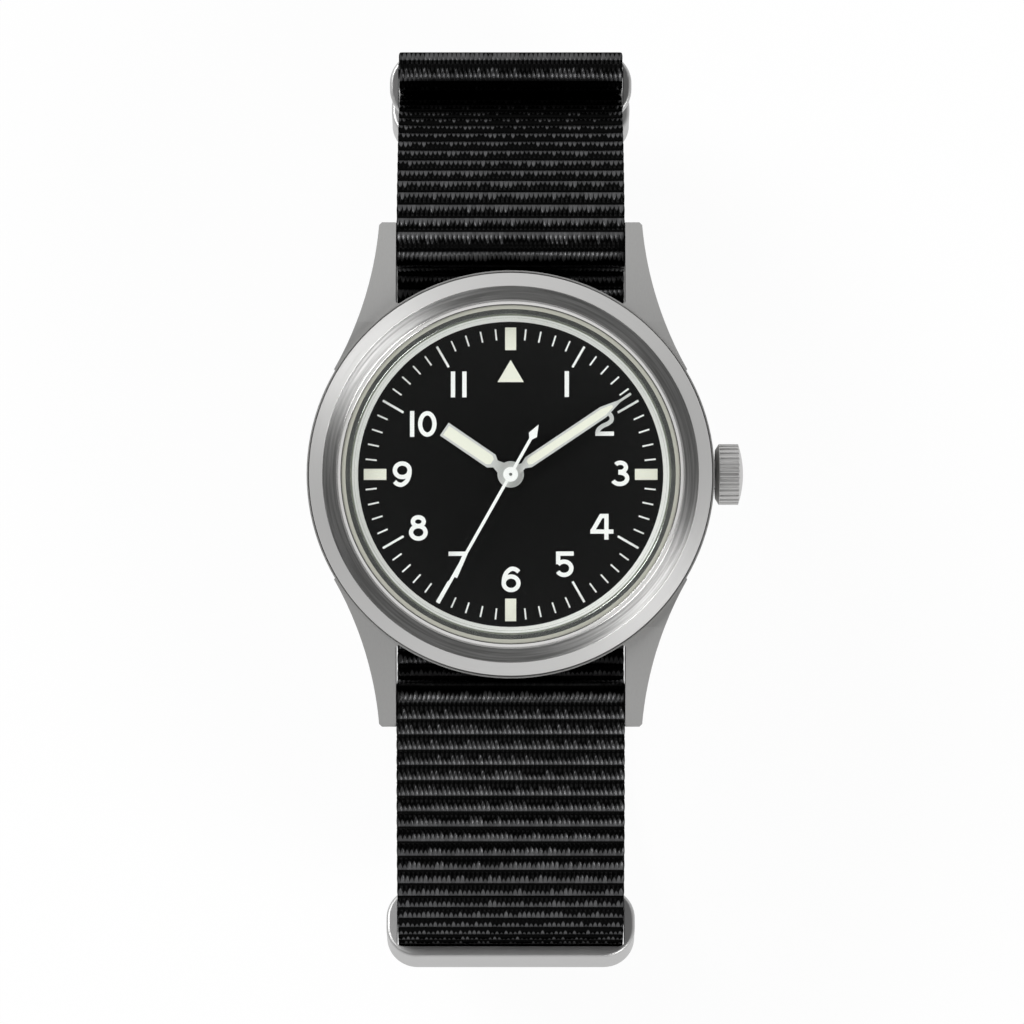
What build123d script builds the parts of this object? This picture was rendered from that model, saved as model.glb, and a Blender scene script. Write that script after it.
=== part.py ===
from build123d import *
import math
import os

# Field watch lying on its closed webbing strap, in millimetres
# The dial faces +Z, 12 o'clock is +Y and the crown is +X
# z = 0 is the surface the strap lies on, under the dial's axis
# Heights inside the case are counted from the outside of the case back

# Clearances
overrun = 1.0              # how far a cutter runs past what it cuts
fit = 0.02                 # between fixed pieces that slide together
running = 0.05             # round shafts and sliding pieces
cloth_gap = 0.15           # between layers of webbing, and webbing and steel
inner_gap = 0.15           # between pieces of the movement that stay apart

# Webbing
webbing = 1.3              # thickness
webbing_width = 20.2
wrist_height = 29.8        # clear height inside the closed strap

# Case and lugs
case_radius = 18.05
case_wall = 3.45           # round the movement
case_low = 0.7             # underside of the case body
case_shelf = 1.3           # shelf that the case back closes against
case_high = 6.3
case_chamfer = 1.2
seam_inner_back = 0.35     # groove between bezel and case, from the case's edge
seam_outer_back = 0.12
seam_depth = 0.3
strap_side_gap = 0.08      # from the webbing's edge to a lug or the buckle
lug_tip_width = 1.5
lug_middle_width = 2.5
lug_root_width = 5.44      # where a lug's outer edge meets the case
lug_middle_back = 6.0      # from the tip
lug_root_back = 13.1
lug_shoulder_back = 8.9    # where the top of a lug starts down
lug_corner = 0.25          # bevel on a tip's outer corner
lug_root_round = 0.25      # between a lug's inner side and the case
lug_tip_high = 4.1
lug_tip_low = 0.9
lug_belly_high = 5.55
lug_foot = 0.45            # underside near the tip

# Case back and its gasket
back_inset = 2.2           # inside the case's outer wall
back_thick = 0.95
back_rim_gap = 0.1         # inside the case's bore
back_rim_wall = 0.5
back_rim_high = 1.5
back_gasket_start = 0.15   # outside the case's bore
back_gasket_width = 0.75

# Bezel, crystal and flange ring, from the outside in
bezel_inset = 0.25         # inside the case's edge
bezel_slope = 1.2          # width of the satin slope
bezel_flat = 1.22          # width of the brushed flat
bezel_lip_slope = 0.38
bezel_lip_width = 0.08
bezel_shelf = 0.92
bezel_shelf_high = 6.95
bezel_edge_high = 7.25     # top of the upright outer wall
bezel_band_high = 8.15
bezel_groove = 0.12        # step between the slope and the brushed flat
bezel_lip_high = 8.45
gasket_width = 0.37
crystal_low = 7.0
crystal_wall = 0.85
crystal_edge_high = 8.75
crystal_shoulder_high = 7.6
crystal_dome_inner = 9.0
crystal_dome_outer = 10.4
gasket_high = 8.3
flange_gap = 0.1           # inside the case's bore
flange_top_width = 0.6
flange_foot_width = 1.1
flange_high = 6.28

# Dial and its luminous plots
dial_gap = 0.2             # inside the case's bore
dial_low = 5.1
dial_high = 5.5
dial_hole = 1.1
plot_thick = 0.08
plot_inset = 3.49          # inner end, from the dial's edge
plot_length = 1.98
plot_width = 0.97
triangle_inset = 4.35      # apex, from the dial's edge
triangle_height = 1.95
triangle_width = 2.3

# Hands, counted from the dial's axis
hour_angle = 304.3         # clockwise from 12
minute_angle = 56.1
seconds_angle = 209.4
hour_hand_low = 5.75
minute_hand_low = 6.2
seconds_hand_low = 6.65
hand_thick = 0.2
hour_boss = 1.16
hour_neck = 0.8
hour_shoulder = 2.06
hour_tip = 7.05
hour_width = 1.35
minute_boss = 0.8
minute_neck = 0.6
minute_shoulder = 1.9
minute_tip_inset = 1.7     # from the dial's edge
minute_needle_length = 1.2
minute_taper_length = 1.7
minute_width = 1.04
needle_width = 0.22
hand_rim = 0.2             # steel left round a hand's luminous filling
lume_lead = 0.1            # how far a filling runs past its baton's shoulder
lume_end_share = 0.55      # half width of its narrowed inner end, share of its full one
lume_point_back = 0.75     # outer end of the minute hand's filling, from the needle
lume_point_width = 0.24
waist_share = 0.45         # half width where a hand leaves its boss, share of its neck
seconds_boss = 0.65
seconds_width = 0.27
seconds_tip_inset = 1.45
seconds_tail = 5.0
spade_length = 1.43
spade_width = 0.8
spade_shoulder = 0.4       # from the spade's base to its widest point

# Crown, stem and tube
stem_level = 3.65
crown_radius = 2.7
crown_gap = 0.1            # from the case
crown_length = 2.05
crown_dome = 0.45
crown_chamfer = 0.33
crown_chamfer_drop = 0.53
crown_flutes = 30
crown_flute_radius = 0.25
crown_flute_lift = 0.09    # its middle, outside the crown
crown_flute_start = 0.36   # from the inner face
crown_recess = 1.6
crown_recess_depth = 1.8
tube_outer = 1.2
tube_inner = 0.55
tube_start_gap = 0.1       # outside the case's bore
tube_reach = 1.65          # into the crown
crown_gasket_gap = 0.25
crown_gasket_length = 0.35
stem_radius = 0.5
stem_thin = 0.3
stem_start_back = 6.55     # these are counted in from the main plate's edge
stem_step_back = 2.3       # where the thin end meets the full stem
stem_groove_back = 1.45
stem_depth = 1.75          # into the crown
stem_groove_half = 0.32

# Movement
holder_gap = 0.1           # inside the case's bore
holder_wall = 1.75
holder_low = 1.55
holder_ledge_width = 0.35
plate_low = 3.5
plate_high = 4.3
stem_slot_half = 2.1
bridge_low = 1.6
bridge_high = 2.0
post_radius = 0.6
screw_radius = 0.3
screw_head = 0.5
screw_head_thick = 0.25
screw_depth = 0.9          # into a post
board_inset = 0.55         # these four are counted in from the main plate's edge
battery_inset = 4.55       # its middle
can_inset = 3.15
chip_inset = 3.15
board_low = 1.3
battery_radius = 3.95
battery_low = 1.45
battery_high = 3.45
battery_angle = -55.0
clip_low = 1.05
clip_thick = 0.2
clip_length = 9.4
clip_width = 2.2
can_radius = 0.8
can_length = 5.5
can_angle = 151.0
chip_size = 2.2
chip_thick = 0.6

# Wheels: module is pitch diameter over teeth
seconds_teeth, third_teeth, third_leaves, centre_teeth = 40, 60, 8, 64
seconds_leaves, fifth_leaves, fifth_teeth, rotor_leaves = 8, 8, 48, 8
cannon_leaves, minute_teeth, minute_leaves, hour_teeth = 12, 36, 10, 40
setting_teeth = 20
third_module = 0.12        # seconds pinion and third wheel
fifth_module = 0.16        # fifth pinion and seconds wheel
rotor_module = 0.11        # rotor pinion and fifth wheel
motion_module = 0.15       # cannon pinion, minute wheel and setting wheel
third_angle = 100.0
fifth_angle = 220.0
rotor_angle = 240.0        # from the fifth wheel's axis
minute_wheel_angle = 35.0
setting_wheel_angle = -34.4   # from the minute wheel's axis
wheel_thick = 0.25
level_one = 2.1            # seconds wheel and fifth pinion
level_two = 2.55           # third and fifth wheels
level_three = 3.05         # centre wheel and third pinion
arbor_radius = 0.15
pivot_radius = 0.08
pivot_low = 1.75
pivot_high = 3.85
seconds_arbor = 0.12
centre_arbor = 0.42
centre_arbor_bore = 0.2
cannon_outer = 0.6
cannon_low = 4.38
cannon_gear_high = 4.74
hour_tube_inner = 0.68
hour_tube_outer = 0.95
hour_wheel_low = 4.8
minute_wheel_low = 4.4
gear_post = 0.2            # radius of the posts of the minute and setting wheels
rotor_magnet = 0.8
rotor_magnet_low = 2.08
rotor_magnet_high = 2.44
stator_hole = 1.1
stator_low = 2.05
stator_high = 2.45
stator_half_length = 5.2
stator_half_width = 1.3
stator_arm = 1.2
coil_offset = 3.2          # from the rotor outwards
core_width = 1.0
core_high = 2.85
coil_radius = 0.83
coil_half_length = 4.0

# Keyless works
clutch_back = 4.15         # its inner end, from the main plate's edge
clutch_length = 1.6
clutch_radius = 0.68
clutch_groove_radius = 0.45
clutch_groove_half = 0.25
clutch_travel = 0.7
lever_low = 4.35
lever_thick = 0.25
lever_pivot_y = 3.2
lever_eye = 0.6
lever_width = 0.7
lever_pin = 0.2
yoke_low = 4.7
yoke_thick = 0.2
yoke_pivot_y = -3.4
yoke_pin = 0.15
pivot_screw = 0.25

# Spring bars
bar_room = 0.4             # between the case and the webbing round a bar
bar_back = 1.8             # from the tips of the lugs
bar_rise = 2.4             # above the outside of the case back
bar_radius = 0.75
bar_bore = 0.55
bar_end_gap = 0.1          # from a bar's end to the lug
bar_end_wall = 0.45
tip_pin = 0.4
tip_body = 0.5
tip_depth = 1.3            # of a tip's pin, into its lug
tip_length = 1.8           # of a tip's body, inside the bar
bar_wrap = 1.5             # from the bar's centre to the middle of the webbing

# Strap rings: the flap ring and both keepers
ring_side_gap = 0.2        # from the webbing's edge to the window's end
ring_depth = 4.0
ring_corner = 2.8
ring_window_corner = 0.5
flap_ring_wall = 0.95
flap_ring_window = 4.6
flap_ring_shift = 1.5       # window's middle, inwards from the webbing's
flap_ring_place = 6.0      # along the run that it sits on
keeper_wall = 0.75
keeper_window = 4.65
keeper_shift = -1.4        # window's middle, outwards from the inner layer's
keeper_far_place = 3.1
keeper_near_place = 7.0
ring_edge = 0.3            # rounding of a ring's rims

# Buckle
hinge_beyond = 0.4         # outside the 12 o'clock spring bar
hinge_z = 3.9
hinge_slope = 8.0          # of the webbing at the hinge bar
hinge_bar = 0.8
buckle_length = 12.0       # between the bars
front_bar_z = 1.75
front_bar = 0.8
buckle_side = 0.9          # half the thickness of the frame's side arms
tongue_thick = 0.8
tongue_width = 1.9
tongue_slot_width = 2.6
tongue_hole_length = 3.6
tongue_hole_back = 5.25    # from the hinge bar
tongue_knee_back = 4.4     # where it starts down through the webbing
tongue_knee_high = 3.2
tongue_heel_back = 6.6
tongue_heel_high = 0.75
tongue_end_back = 13.3
tongue_end_high = 0.5

# Webbing routes
twelve_overhang = 13.65    # how far the webbing's middle goes beyond the 12 o'clock bar
six_overhang = 24.1
u_turn_span = 2.2          # between the middles of the folded tail's legs
u_turn_rise = 9.7          # crest of the folded tail, along the run it stands on
tail_bulge = 2.3           # from the crest down to where the fold's outer leg draws in
tail_draw = 1.8
tail_end_run = 4.5         # how far the tail goes past its last bend
hinge_run = 9.0            # straight webbing beyond the hinge bar
fold_start = 1.5           # where the sewn fold leaves the bar
fold_draw = 1.6
fold_length = 4.4
flap_start = 4.8
flap_stand = 2.85          # flap behind the keepers' inner walls
flap_turn_lead = 1.0
tight_bend = 1.0
crest_bend = 3.0
crest_lift = 0.25
dip_bend = 6.0
dip_lead = 1.0             # before the hinge bar, where the webbing passes under it
drape_twelve = 25.0        # slope where the webbing leaves the 12 o'clock bar
drape_six = 3.0
flat_beyond = 6.9          # how far the flat bottom goes beyond the 6 o'clock bar
flat_end_back = 18.7       # from the hinge bar to the flat bottom's other end
flat_bend = 4.0
ease_share = 0.45          # how much of a run a bend may use
tight_share = 0.97         # keeps a sliver of straight between tight bends
# Each pair is how far out from the bar to the full reach, and how high
twelve_shares = [(1.0, 0.453), (0.998, 0.635), (0.69, 0.842), (0.27, 0.999)]
six_shares = [(0.4, 1.0275), (0.635, 0.9725), (0.828, 0.863), (0.965, 0.599),
              (0.975, 0.45), (0.87, 0.247), (0.62, 0.08)]
flap_twelve_share = (0.496, 0.775)
flap_six_share = (0.458, 0.8626)
flap_draw_share = 0.56     # of the run it comes in on, where its end lies flat again
flap_end_share = 0.93
post_shares = [(0.39, 0.28), (-0.49, 0.205), (0, -0.41)]   # of the main plate's radius

# Widths that follow the webbing
lug_gap = webbing_width + 2 * strap_side_gap
lug_tip_x = lug_gap / 2 + lug_tip_width
lug_middle_x = lug_gap / 2 + lug_middle_width
lug_root_x = lug_gap / 2 + lug_root_width
bar_half_length = lug_gap / 2 - bar_end_gap
tip_reach = lug_gap / 2 + tip_depth
tip_tail = bar_half_length - tip_length
frame_half = webbing_width / 2 + strap_side_gap
ring_window_width = webbing_width + 2 * ring_side_gap

# Radii that follow the case
case_bore = case_radius - case_wall
back_radius = case_radius - back_inset
back_rim_outer = case_bore - back_rim_gap
back_rim_inner = back_rim_outer - back_rim_wall
back_gasket_inner = case_bore + back_gasket_start
back_gasket_outer = back_gasket_inner + back_gasket_width
bezel_radius = case_radius - bezel_inset
seam_inner = case_radius - seam_inner_back
seam_outer = case_radius - seam_outer_back
bezel_band_inner = bezel_radius - bezel_slope
bezel_lip_outer = bezel_band_inner - bezel_flat
bezel_lip_top = bezel_lip_outer - bezel_lip_slope
bezel_bore = bezel_lip_top - bezel_lip_width
bezel_shelf_inner = bezel_bore - bezel_shelf
crystal_radius = bezel_bore - gasket_width
flange_outer = case_bore - flange_gap
flange_top_inner = flange_outer - flange_top_width
flange_foot_inner = flange_outer - flange_foot_width
dial_radius = case_bore - dial_gap
plot_inner = dial_radius - plot_inset
triangle_apex = dial_radius - triangle_inset
minute_tip = dial_radius - minute_tip_inset
minute_needle = minute_tip - minute_needle_length
minute_taper = minute_needle - minute_taper_length
seconds_tip = dial_radius - seconds_tip_inset
holder_outer = case_bore - holder_gap
plate_radius = holder_outer - holder_wall
holder_ledge = plate_radius - holder_ledge_width
board_radius = plate_radius - board_inset
battery_distance = plate_radius - battery_inset
can_distance = plate_radius - can_inset
chip_y = plate_radius - chip_inset

# Places that follow, along the crown's axis and along 12-6
crown_start = case_radius + crown_gap
crown_gasket_start = crown_start + crown_gasket_gap
tube_start = case_bore + tube_start_gap
tube_end = crown_start + tube_reach
stem_start = plate_radius - stem_start_back
stem_step = plate_radius - stem_step_back
stem_groove_x = plate_radius - stem_groove_back
stem_end = crown_start + stem_depth
clutch_start = plate_radius - clutch_back
clutch_end = clutch_start + clutch_length
clutch_middle = (clutch_start + clutch_end) / 2
bar_reach = case_radius + bar_room + webbing / 2 + bar_wrap
lug_reach = bar_reach + bar_back
lug_middle_y = lug_reach - lug_middle_back
lug_root_y = lug_reach - lug_root_back
lug_shoulder_y = lug_reach - lug_shoulder_back
hinge_y = bar_reach + hinge_beyond
front_bar_y = hinge_y - buckle_length
tongue_hole_y = hinge_y - tongue_hole_back
tongue_knee = (hinge_y - tongue_knee_back, tongue_knee_high)
tongue_heel = (hinge_y - tongue_heel_back, tongue_heel_high)
tongue_end = (hinge_y - tongue_end_back, tongue_end_high)
flat_start = -bar_reach - flat_beyond
flat_end = hinge_y - flat_end_back

# Heights that follow
layer = webbing + cloth_gap
back_level = webbing + wrist_height + 2 * layer
bar_level = back_level + bar_rise
under_case = back_level - cloth_gap - webbing / 2


def level(height):
    """Height above the table of a height counted from the case back."""
    return back_level + height


# Basic shapes
def disc(radius, low, high, x=0, y=0):
    return Pos(x, y, (low + high) / 2) * Cylinder(radius, high - low)


def sleeve(outer, inner, low, high, x=0, y=0):
    cutter = disc(inner, low - overrun, high + overrun, x, y)
    return disc(outer, low, high, x, y) - cutter


def rod_x(radius, start, end, y, z):
    return Pos((start + end) / 2, y, z) * Rot(0, 90, 0) * Cylinder(radius, end - start)


def block(x_range, y_range, z_range):
    size = [high - low for low, high in (x_range, y_range, z_range)]
    middle = [(high + low) / 2 for low, high in (x_range, y_range, z_range)]
    return Pos(*middle) * Box(*size)


def prism(points, low, high):
    """A flat outline in the dial's plane, raised from low to high."""
    face = make_face(Polyline(*points, close=True))
    return Pos(0, 0, low) * extrude(face, amount=high - low)


def turned(edges):
    """A profile of radius and height, turned round the dial's axis."""
    return revolve(Plane.XZ * make_face(edges), axis=Axis.Z)


def polar(distance, angle):
    turn = math.radians(angle)
    return distance * math.cos(turn), distance * math.sin(turn)


def shown_at(shape, clockwise):
    """Something drawn pointing at 12, turned to a clock angle."""
    return Rot(0, 0, -clockwise) * shape


# Webbing routes in the plane across the strap, as (y, z) points
def run(a, b):
    return math.hypot(b[0] - a[0], b[1] - a[1])


def heading(a, b):
    return math.atan2(b[1] - a[1], b[0] - a[0])


def turn_at(a, b, c):
    turn = heading(b, c) - heading(a, b)
    return math.remainder(turn, math.tau)


def along(a, b, distance, side=0):
    """A point on the run from a to b, and side to its left."""
    way = heading(a, b)
    return (a[0] + distance * math.cos(way) - side * math.sin(way),
            a[1] + distance * math.sin(way) + side * math.cos(way))


def shifted(points, side):
    """The same route moved to its left, with its corners mitred."""
    moved = [along(points[0], points[1], 0, side)]
    for a, b, c in zip(points, points[1:], points[2:]):
        half = turn_at(a, b, c) / 2
        way = heading(a, b) + half
        reach = side / math.cos(half)
        moved.append((b[0] - reach * math.sin(way), b[1] + reach * math.cos(way)))
    moved.append(along(points[-2], points[-1], run(points[-2], points[-1]), side))
    return moved


def bend_radii(points, tight):
    """The bend at each inner point: the given one, or as large as its runs allow."""
    radii = []
    for index in range(1, len(points) - 1):
        a, b, c = points[index - 1:index + 2]
        shorter = min(run(a, b), run(b, c))
        easy = ease_share * shorter / math.tan(abs(turn_at(a, b, c)) / 2)
        radii.append(tight.get(index, easy))
    return radii


def ribbon(points, tight, thick=webbing, width=webbing_width):
    """A strip along a route, its bends concentric on both faces."""
    radii = bend_radii(points, tight)
    turns = [turn_at(a, b, c) for a, b, c in zip(points, points[1:], points[2:])]
    half = thick / 2
    left = [r - math.copysign(half, t) for r, t in zip(radii, turns)]
    right = [r + math.copysign(half, t) for r, t in zip(radii, turns)]
    outline = shifted(points, half) + shifted(points, -half)[::-1]
    corners = [0] + left + [0, 0] + right[::-1] + [0]
    face = make_face(FilletPolyline(*outline, radius=corners, close=True))
    across = Plane(origin=(-width / 2, 0, 0), x_dir=(0, 1, 0), z_dir=(1, 0, 0))
    return extrude(across * face, amount=width, dir=(1, 0, 0))


def hinge_point(forward, inward):
    """A point by the hinge bar, along its webbing and towards the wrist."""
    slope = math.radians(hinge_slope)
    hinge = (hinge_y, hinge_z)
    return along(hinge, (hinge_y + math.cos(slope), hinge_z + math.sin(slope)), forward, inward)


def twelve_route():
    """Middle of the buckle-side webbing, from the hinge bar up to the 12 o'clock bar."""
    points = [hinge_point(0, -bar_wrap), hinge_point(hinge_run, -bar_wrap)]
    for out_share, height_share in twelve_shares:
        out = bar_reach + out_share * twelve_overhang
        points.append((out, height_share * bar_level))
    return points


def six_route():
    """Middle of the webbing from the 6 o'clock bar's bend down to the table."""
    points = []
    for out_share, height_share in six_shares:
        out = bar_reach + out_share * six_overhang
        points.append((-out, height_share * bar_level))
    return points


def twelve_bends():
    """Bends of the buckle-side webbing, which the layers on either side share."""
    return bend_radii(twelve_route() + [bar_corner(1, drape_twelve)], {})


def bar_corner(side, drape):
    """The corner whose bend goes round a spring bar, side +1 at 12 and -1 at 6."""
    half = math.radians(90 + drape) / 2
    return side * (bar_reach - bar_wrap), bar_level + bar_wrap * math.tan(half)


def main_strap():
    """The long webbing, from its sewn fold at the buckle to its folded tail."""
    fold_side = layer - bar_wrap
    points = [hinge_point(fold_length, fold_side),
              hinge_point(fold_start + fold_draw, fold_side),
              hinge_point(fold_start, bar_wrap),
              hinge_point(-bar_wrap, bar_wrap),
              hinge_point(-bar_wrap, -bar_wrap)]
    tight = {3: tight_share * bar_wrap, 4: tight_share * bar_wrap}
    inner_leg = twelve_route()
    bends = twelve_bends()
    for point, bend in zip(inner_leg[1:], bends):
        tight[len(points)] = bend
        points.append(point)
    tight[len(points)] = bar_wrap
    points.append(bar_corner(1, drape_twelve))
    for side in (1, -1):
        tight[len(points)] = bar_wrap
        points.append((side * (bar_reach - bar_wrap), under_case))
    tight[len(points)] = bar_wrap
    points.append(bar_corner(-1, drape_six))
    points += six_route()
    points.append((flat_start, webbing / 2))
    tight[len(points)] = flat_bend
    points.append((flat_end, webbing / 2))
    tight[len(points)] = crest_bend
    crest = front_bar_z + front_bar + cloth_gap + webbing / 2 + crest_lift
    points.append((front_bar_y, crest))
    tight[len(points)] = dip_bend
    points.append(hinge_point(-dip_lead, -bar_wrap - layer))
    for point, bend in zip(shifted(inner_leg, -layer)[1:3], bends):
        tight[len(points)] = bend + layer
        points.append(point)
    foot, head = inner_leg[2:4]
    fold_out = -layer - u_turn_span
    for side in (-layer, fold_out):
        tight[len(points)] = tight_share * u_turn_span / 2
        points.append(along(foot, head, u_turn_rise, side))
    points.append(along(foot, head, u_turn_rise - tail_bulge, fold_out))
    points.append(along(foot, head, u_turn_rise - tail_bulge - tail_draw, -2 * layer))
    outer_leg = shifted(inner_leg, -2 * layer)
    tight[len(points)] = bends[1] + 2 * layer
    points.append(outer_leg[2])
    points.append(along(outer_leg[2], outer_leg[1], tail_end_run))
    strap = ribbon(points, tight)
    half_slot = tongue_slot_width / 2
    strap -= rod_x(bar_wrap + webbing / 2 + fit, -half_slot, half_slot, hinge_y, hinge_z)
    half_hole = tongue_hole_length / 2
    strap -= block((-half_slot, half_slot),
                   (tongue_hole_y - half_hole, tongue_hole_y + half_hole),
                   (-overrun, tongue_knee[1] + webbing))
    return strap


def flap_strap():
    """The short webbing inside the long one, from the buckle to the flap ring."""
    inner_leg = shifted(twelve_route(), flap_stand)
    under = under_case - layer
    out_share, height_share = flap_twelve_share
    points = [hinge_point(flap_start, layer - bar_wrap)] + inner_leg[1:4]
    points.append((bar_reach + out_share * twelve_overhang, height_share * bar_level))
    points += [(bar_reach, under), (-bar_reach, under)]
    out_share, height_share = flap_six_share
    lead = (-bar_reach - out_share * six_overhang, height_share * bar_level)
    shoulder, foot = six_route()[2:4]
    corner = along(shoulder, foot, flap_turn_lead, layer)
    wall_side = flap_ring_shift + flap_ring_window / 2 + flap_ring_wall
    wall_side += cloth_gap + webbing / 2
    ring_end = flap_ring_place + ring_depth / 2 + cloth_gap + webbing / 2
    ring_start = flap_ring_place - ring_depth / 2 - cloth_gap
    points += [lead, corner, along(shoulder, foot, ring_end, layer)]
    points.append(along(shoulder, foot, ring_end, wall_side))
    points.append(along(shoulder, foot, ring_start, wall_side))
    for share in (flap_draw_share, flap_end_share):
        points.append(along(corner, lead, share * run(corner, lead), -layer))
    tight = {index + 1: bend - flap_stand for index, bend in enumerate(twelve_bends()[:3])}
    tight[9] = tight[10] = tight_bend
    return ribbon(points, tight)


def strap_ring(start, end, place, side, window, wall):
    """A steel ring round a run of webbing, its window's middle to the run's left by side."""
    way = heading(start, end)
    y, z = along(start, end, place, side)
    outline = RectangleRounded(ring_window_width + 2 * wall, window + 2 * wall, ring_corner)
    ring = extrude(outline, amount=ring_depth / 2, both=True)
    ring = fillet(ring.edges().filter_by(Plane.XY), ring_edge)
    inside = RectangleRounded(ring_window_width, window, ring_window_corner)
    ring -= extrude(inside, amount=ring_depth, both=True)
    facing = Plane(origin=(0, y, z), x_dir=(1, 0, 0), z_dir=(0, math.cos(way), math.sin(way)))
    return facing * ring


def flap_ring():
    shoulder, foot = six_route()[2:4]
    return strap_ring(shoulder, foot, flap_ring_place, flap_ring_shift,
                      flap_ring_window, flap_ring_wall)


def keeper_near():
    foot, head = twelve_route()[1:3]
    return strap_ring(foot, head, keeper_near_place, keeper_shift, keeper_window, keeper_wall)


def keeper_far():
    foot, head = twelve_route()[2:4]
    return strap_ring(foot, head, keeper_far_place, keeper_shift, keeper_window, keeper_wall)


# Buckle
def buckle_frame():
    frame = rod_x(hinge_bar, -frame_half - overrun, frame_half + overrun, hinge_y, hinge_z)
    frame += rod_x(front_bar, -frame_half - overrun, frame_half + overrun, front_bar_y, front_bar_z)
    length = run((front_bar_y, front_bar_z), (hinge_y, hinge_z))
    tilt = math.degrees(heading((front_bar_y, front_bar_z), (hinge_y, hinge_z)))
    middle = ((front_bar_y + hinge_y) / 2, (front_bar_z + hinge_z) / 2)
    arm = SlotCenterToCenter(length, 2 * buckle_side)
    for side in (1, -1):
        start = frame_half if side > 0 else -frame_half - 2 * buckle_side
        face = Plane(origin=(start, *middle), x_dir=(0, 1, 0), z_dir=(1, 0, 0))
        frame += face * Rot(0, 0, tilt) * extrude(arm, amount=2 * buckle_side)
    return frame


def buckle_tongue():
    eye = hinge_bar + running
    hinge = (hinge_y, hinge_z)
    start = along(hinge, tongue_knee, eye + tongue_thick / 2)
    points = [start, tongue_knee, tongue_heel, tongue_end]
    tongue = ribbon(points, {}, tongue_thick, tongue_width)
    half = tongue_width / 2
    tongue += rod_x(eye + tongue_thick, -half, half, hinge_y, hinge_z)
    return tongue - rod_x(eye, -half - overrun, half + overrun, hinge_y, hinge_z)


# Case
def lug_pair():
    """Two lugs and the metal between them, drawn for the +X side."""
    tip_round = lug_reach - lug_corner
    edge = ThreePointArc((lug_tip_x, tip_round), (lug_middle_x, lug_middle_y),
                         (lug_root_x, lug_root_y))
    inner = lug_gap / 2
    middle_x = inner - lug_root_round
    middle_y = math.sqrt((case_radius + lug_root_round) ** 2 - middle_x ** 2)
    on_case = case_radius / (case_radius + lug_root_round)
    touch = (middle_x * on_case, middle_y * on_case)
    half_way = (math.atan2(middle_y, middle_x) - math.pi) / 2
    bend = (middle_x + lug_root_round * math.cos(half_way),
            middle_y + lug_root_round * math.sin(half_way))
    lines = [edge,
             Line((lug_root_x, lug_root_y), (touch[0], 0)),
             Line((touch[0], 0), touch),
             ThreePointArc(touch, bend, (inner, middle_y)),
             Line((inner, middle_y), (inner, lug_reach)),
             Line((inner, lug_reach), (lug_tip_x - lug_corner, lug_reach)),
             Line((lug_tip_x - lug_corner, lug_reach), (lug_tip_x, tip_round))]
    plan = extrude(make_face(lines), amount=level(case_high))
    side = [Line((0, case_high), (lug_shoulder_y, case_high)),
            ThreePointArc((lug_shoulder_y, case_high),
                          ((lug_shoulder_y + lug_reach) / 2, lug_belly_high),
                          (lug_reach + fit, lug_tip_high)),
            Line((lug_reach + fit, lug_tip_high), (lug_reach + fit, lug_tip_low)),
            Line((lug_reach + fit, lug_tip_low), (bar_reach, lug_foot)),
            Line((bar_reach, lug_foot), (lug_shoulder_y, case_low + lug_foot)),
            Line((lug_shoulder_y, case_low + lug_foot), (0, case_low + lug_foot)),
            Line((0, case_low + lug_foot), (0, case_high))]
    across = Plane(origin=(0, 0, level(0)), x_dir=(0, 1, 0), z_dir=(1, 0, 0))
    section = extrude(across * make_face(side), amount=case_radius, dir=(1, 0, 0))
    lug = plan & section
    return lug + mirror(lug, Plane.XZ)


def case_body():
    drum = turned(Polyline((0, level(case_low)),
                           (case_radius - case_chamfer, level(case_low)),
                           (case_radius, level(case_low + case_chamfer)),
                           (case_radius, level(case_high)),
                           (0, level(case_high)), close=True))
    lugs = lug_pair()
    case = drum + lugs + mirror(lugs, Plane.YZ)
    case -= disc(case_bore, level(case_low) - overrun, level(case_high) + overrun)
    case -= disc(back_radius + fit, level(case_low) - overrun, level(case_shelf))
    case -= sleeve(seam_outer, seam_inner, level(case_high - seam_depth),
                   level(case_high) + overrun)
    case -= rod_x(tube_outer + fit, case_bore - overrun, case_radius + overrun,
                  0, level(stem_level))
    for side in (1, -1):
        case -= rod_x(tip_pin + running, -tip_reach - running, tip_reach + running,
                      side * bar_reach, bar_level)
    return case


def case_back():
    back = disc(back_radius, level(0), level(back_thick))
    return back + sleeve(back_rim_outer, back_rim_inner, level(back_thick), level(back_rim_high))


def case_back_gasket():
    return sleeve(back_gasket_outer, back_gasket_inner, level(back_thick), level(case_shelf))


def bezel():
    lip = bezel_band_high - bezel_groove
    return turned(Polyline((bezel_shelf_inner, level(case_high)),
                           (bezel_radius, level(case_high)),
                           (bezel_radius, level(bezel_edge_high)),
                           (bezel_band_inner, level(bezel_band_high)),
                           (bezel_band_inner, level(lip)),
                           (bezel_lip_outer, level(lip)),
                           (bezel_lip_top, level(bezel_lip_high)),
                           (bezel_bore, level(bezel_lip_high)),
                           (bezel_bore, level(bezel_shelf_high)),
                           (bezel_shelf_inner, level(bezel_shelf_high)), close=True))


def dome_arc(radius, edge, top):
    """Arc of a dome from its edge in to the dial's axis."""
    drop = top - edge
    sphere = (radius ** 2 + drop ** 2) / (2 * drop)
    half = math.asin(radius / sphere) / 2
    middle = (sphere * math.sin(half), level(top - sphere + sphere * math.cos(half)))
    return ThreePointArc((radius, level(edge)), middle, (0, level(top)))


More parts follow.
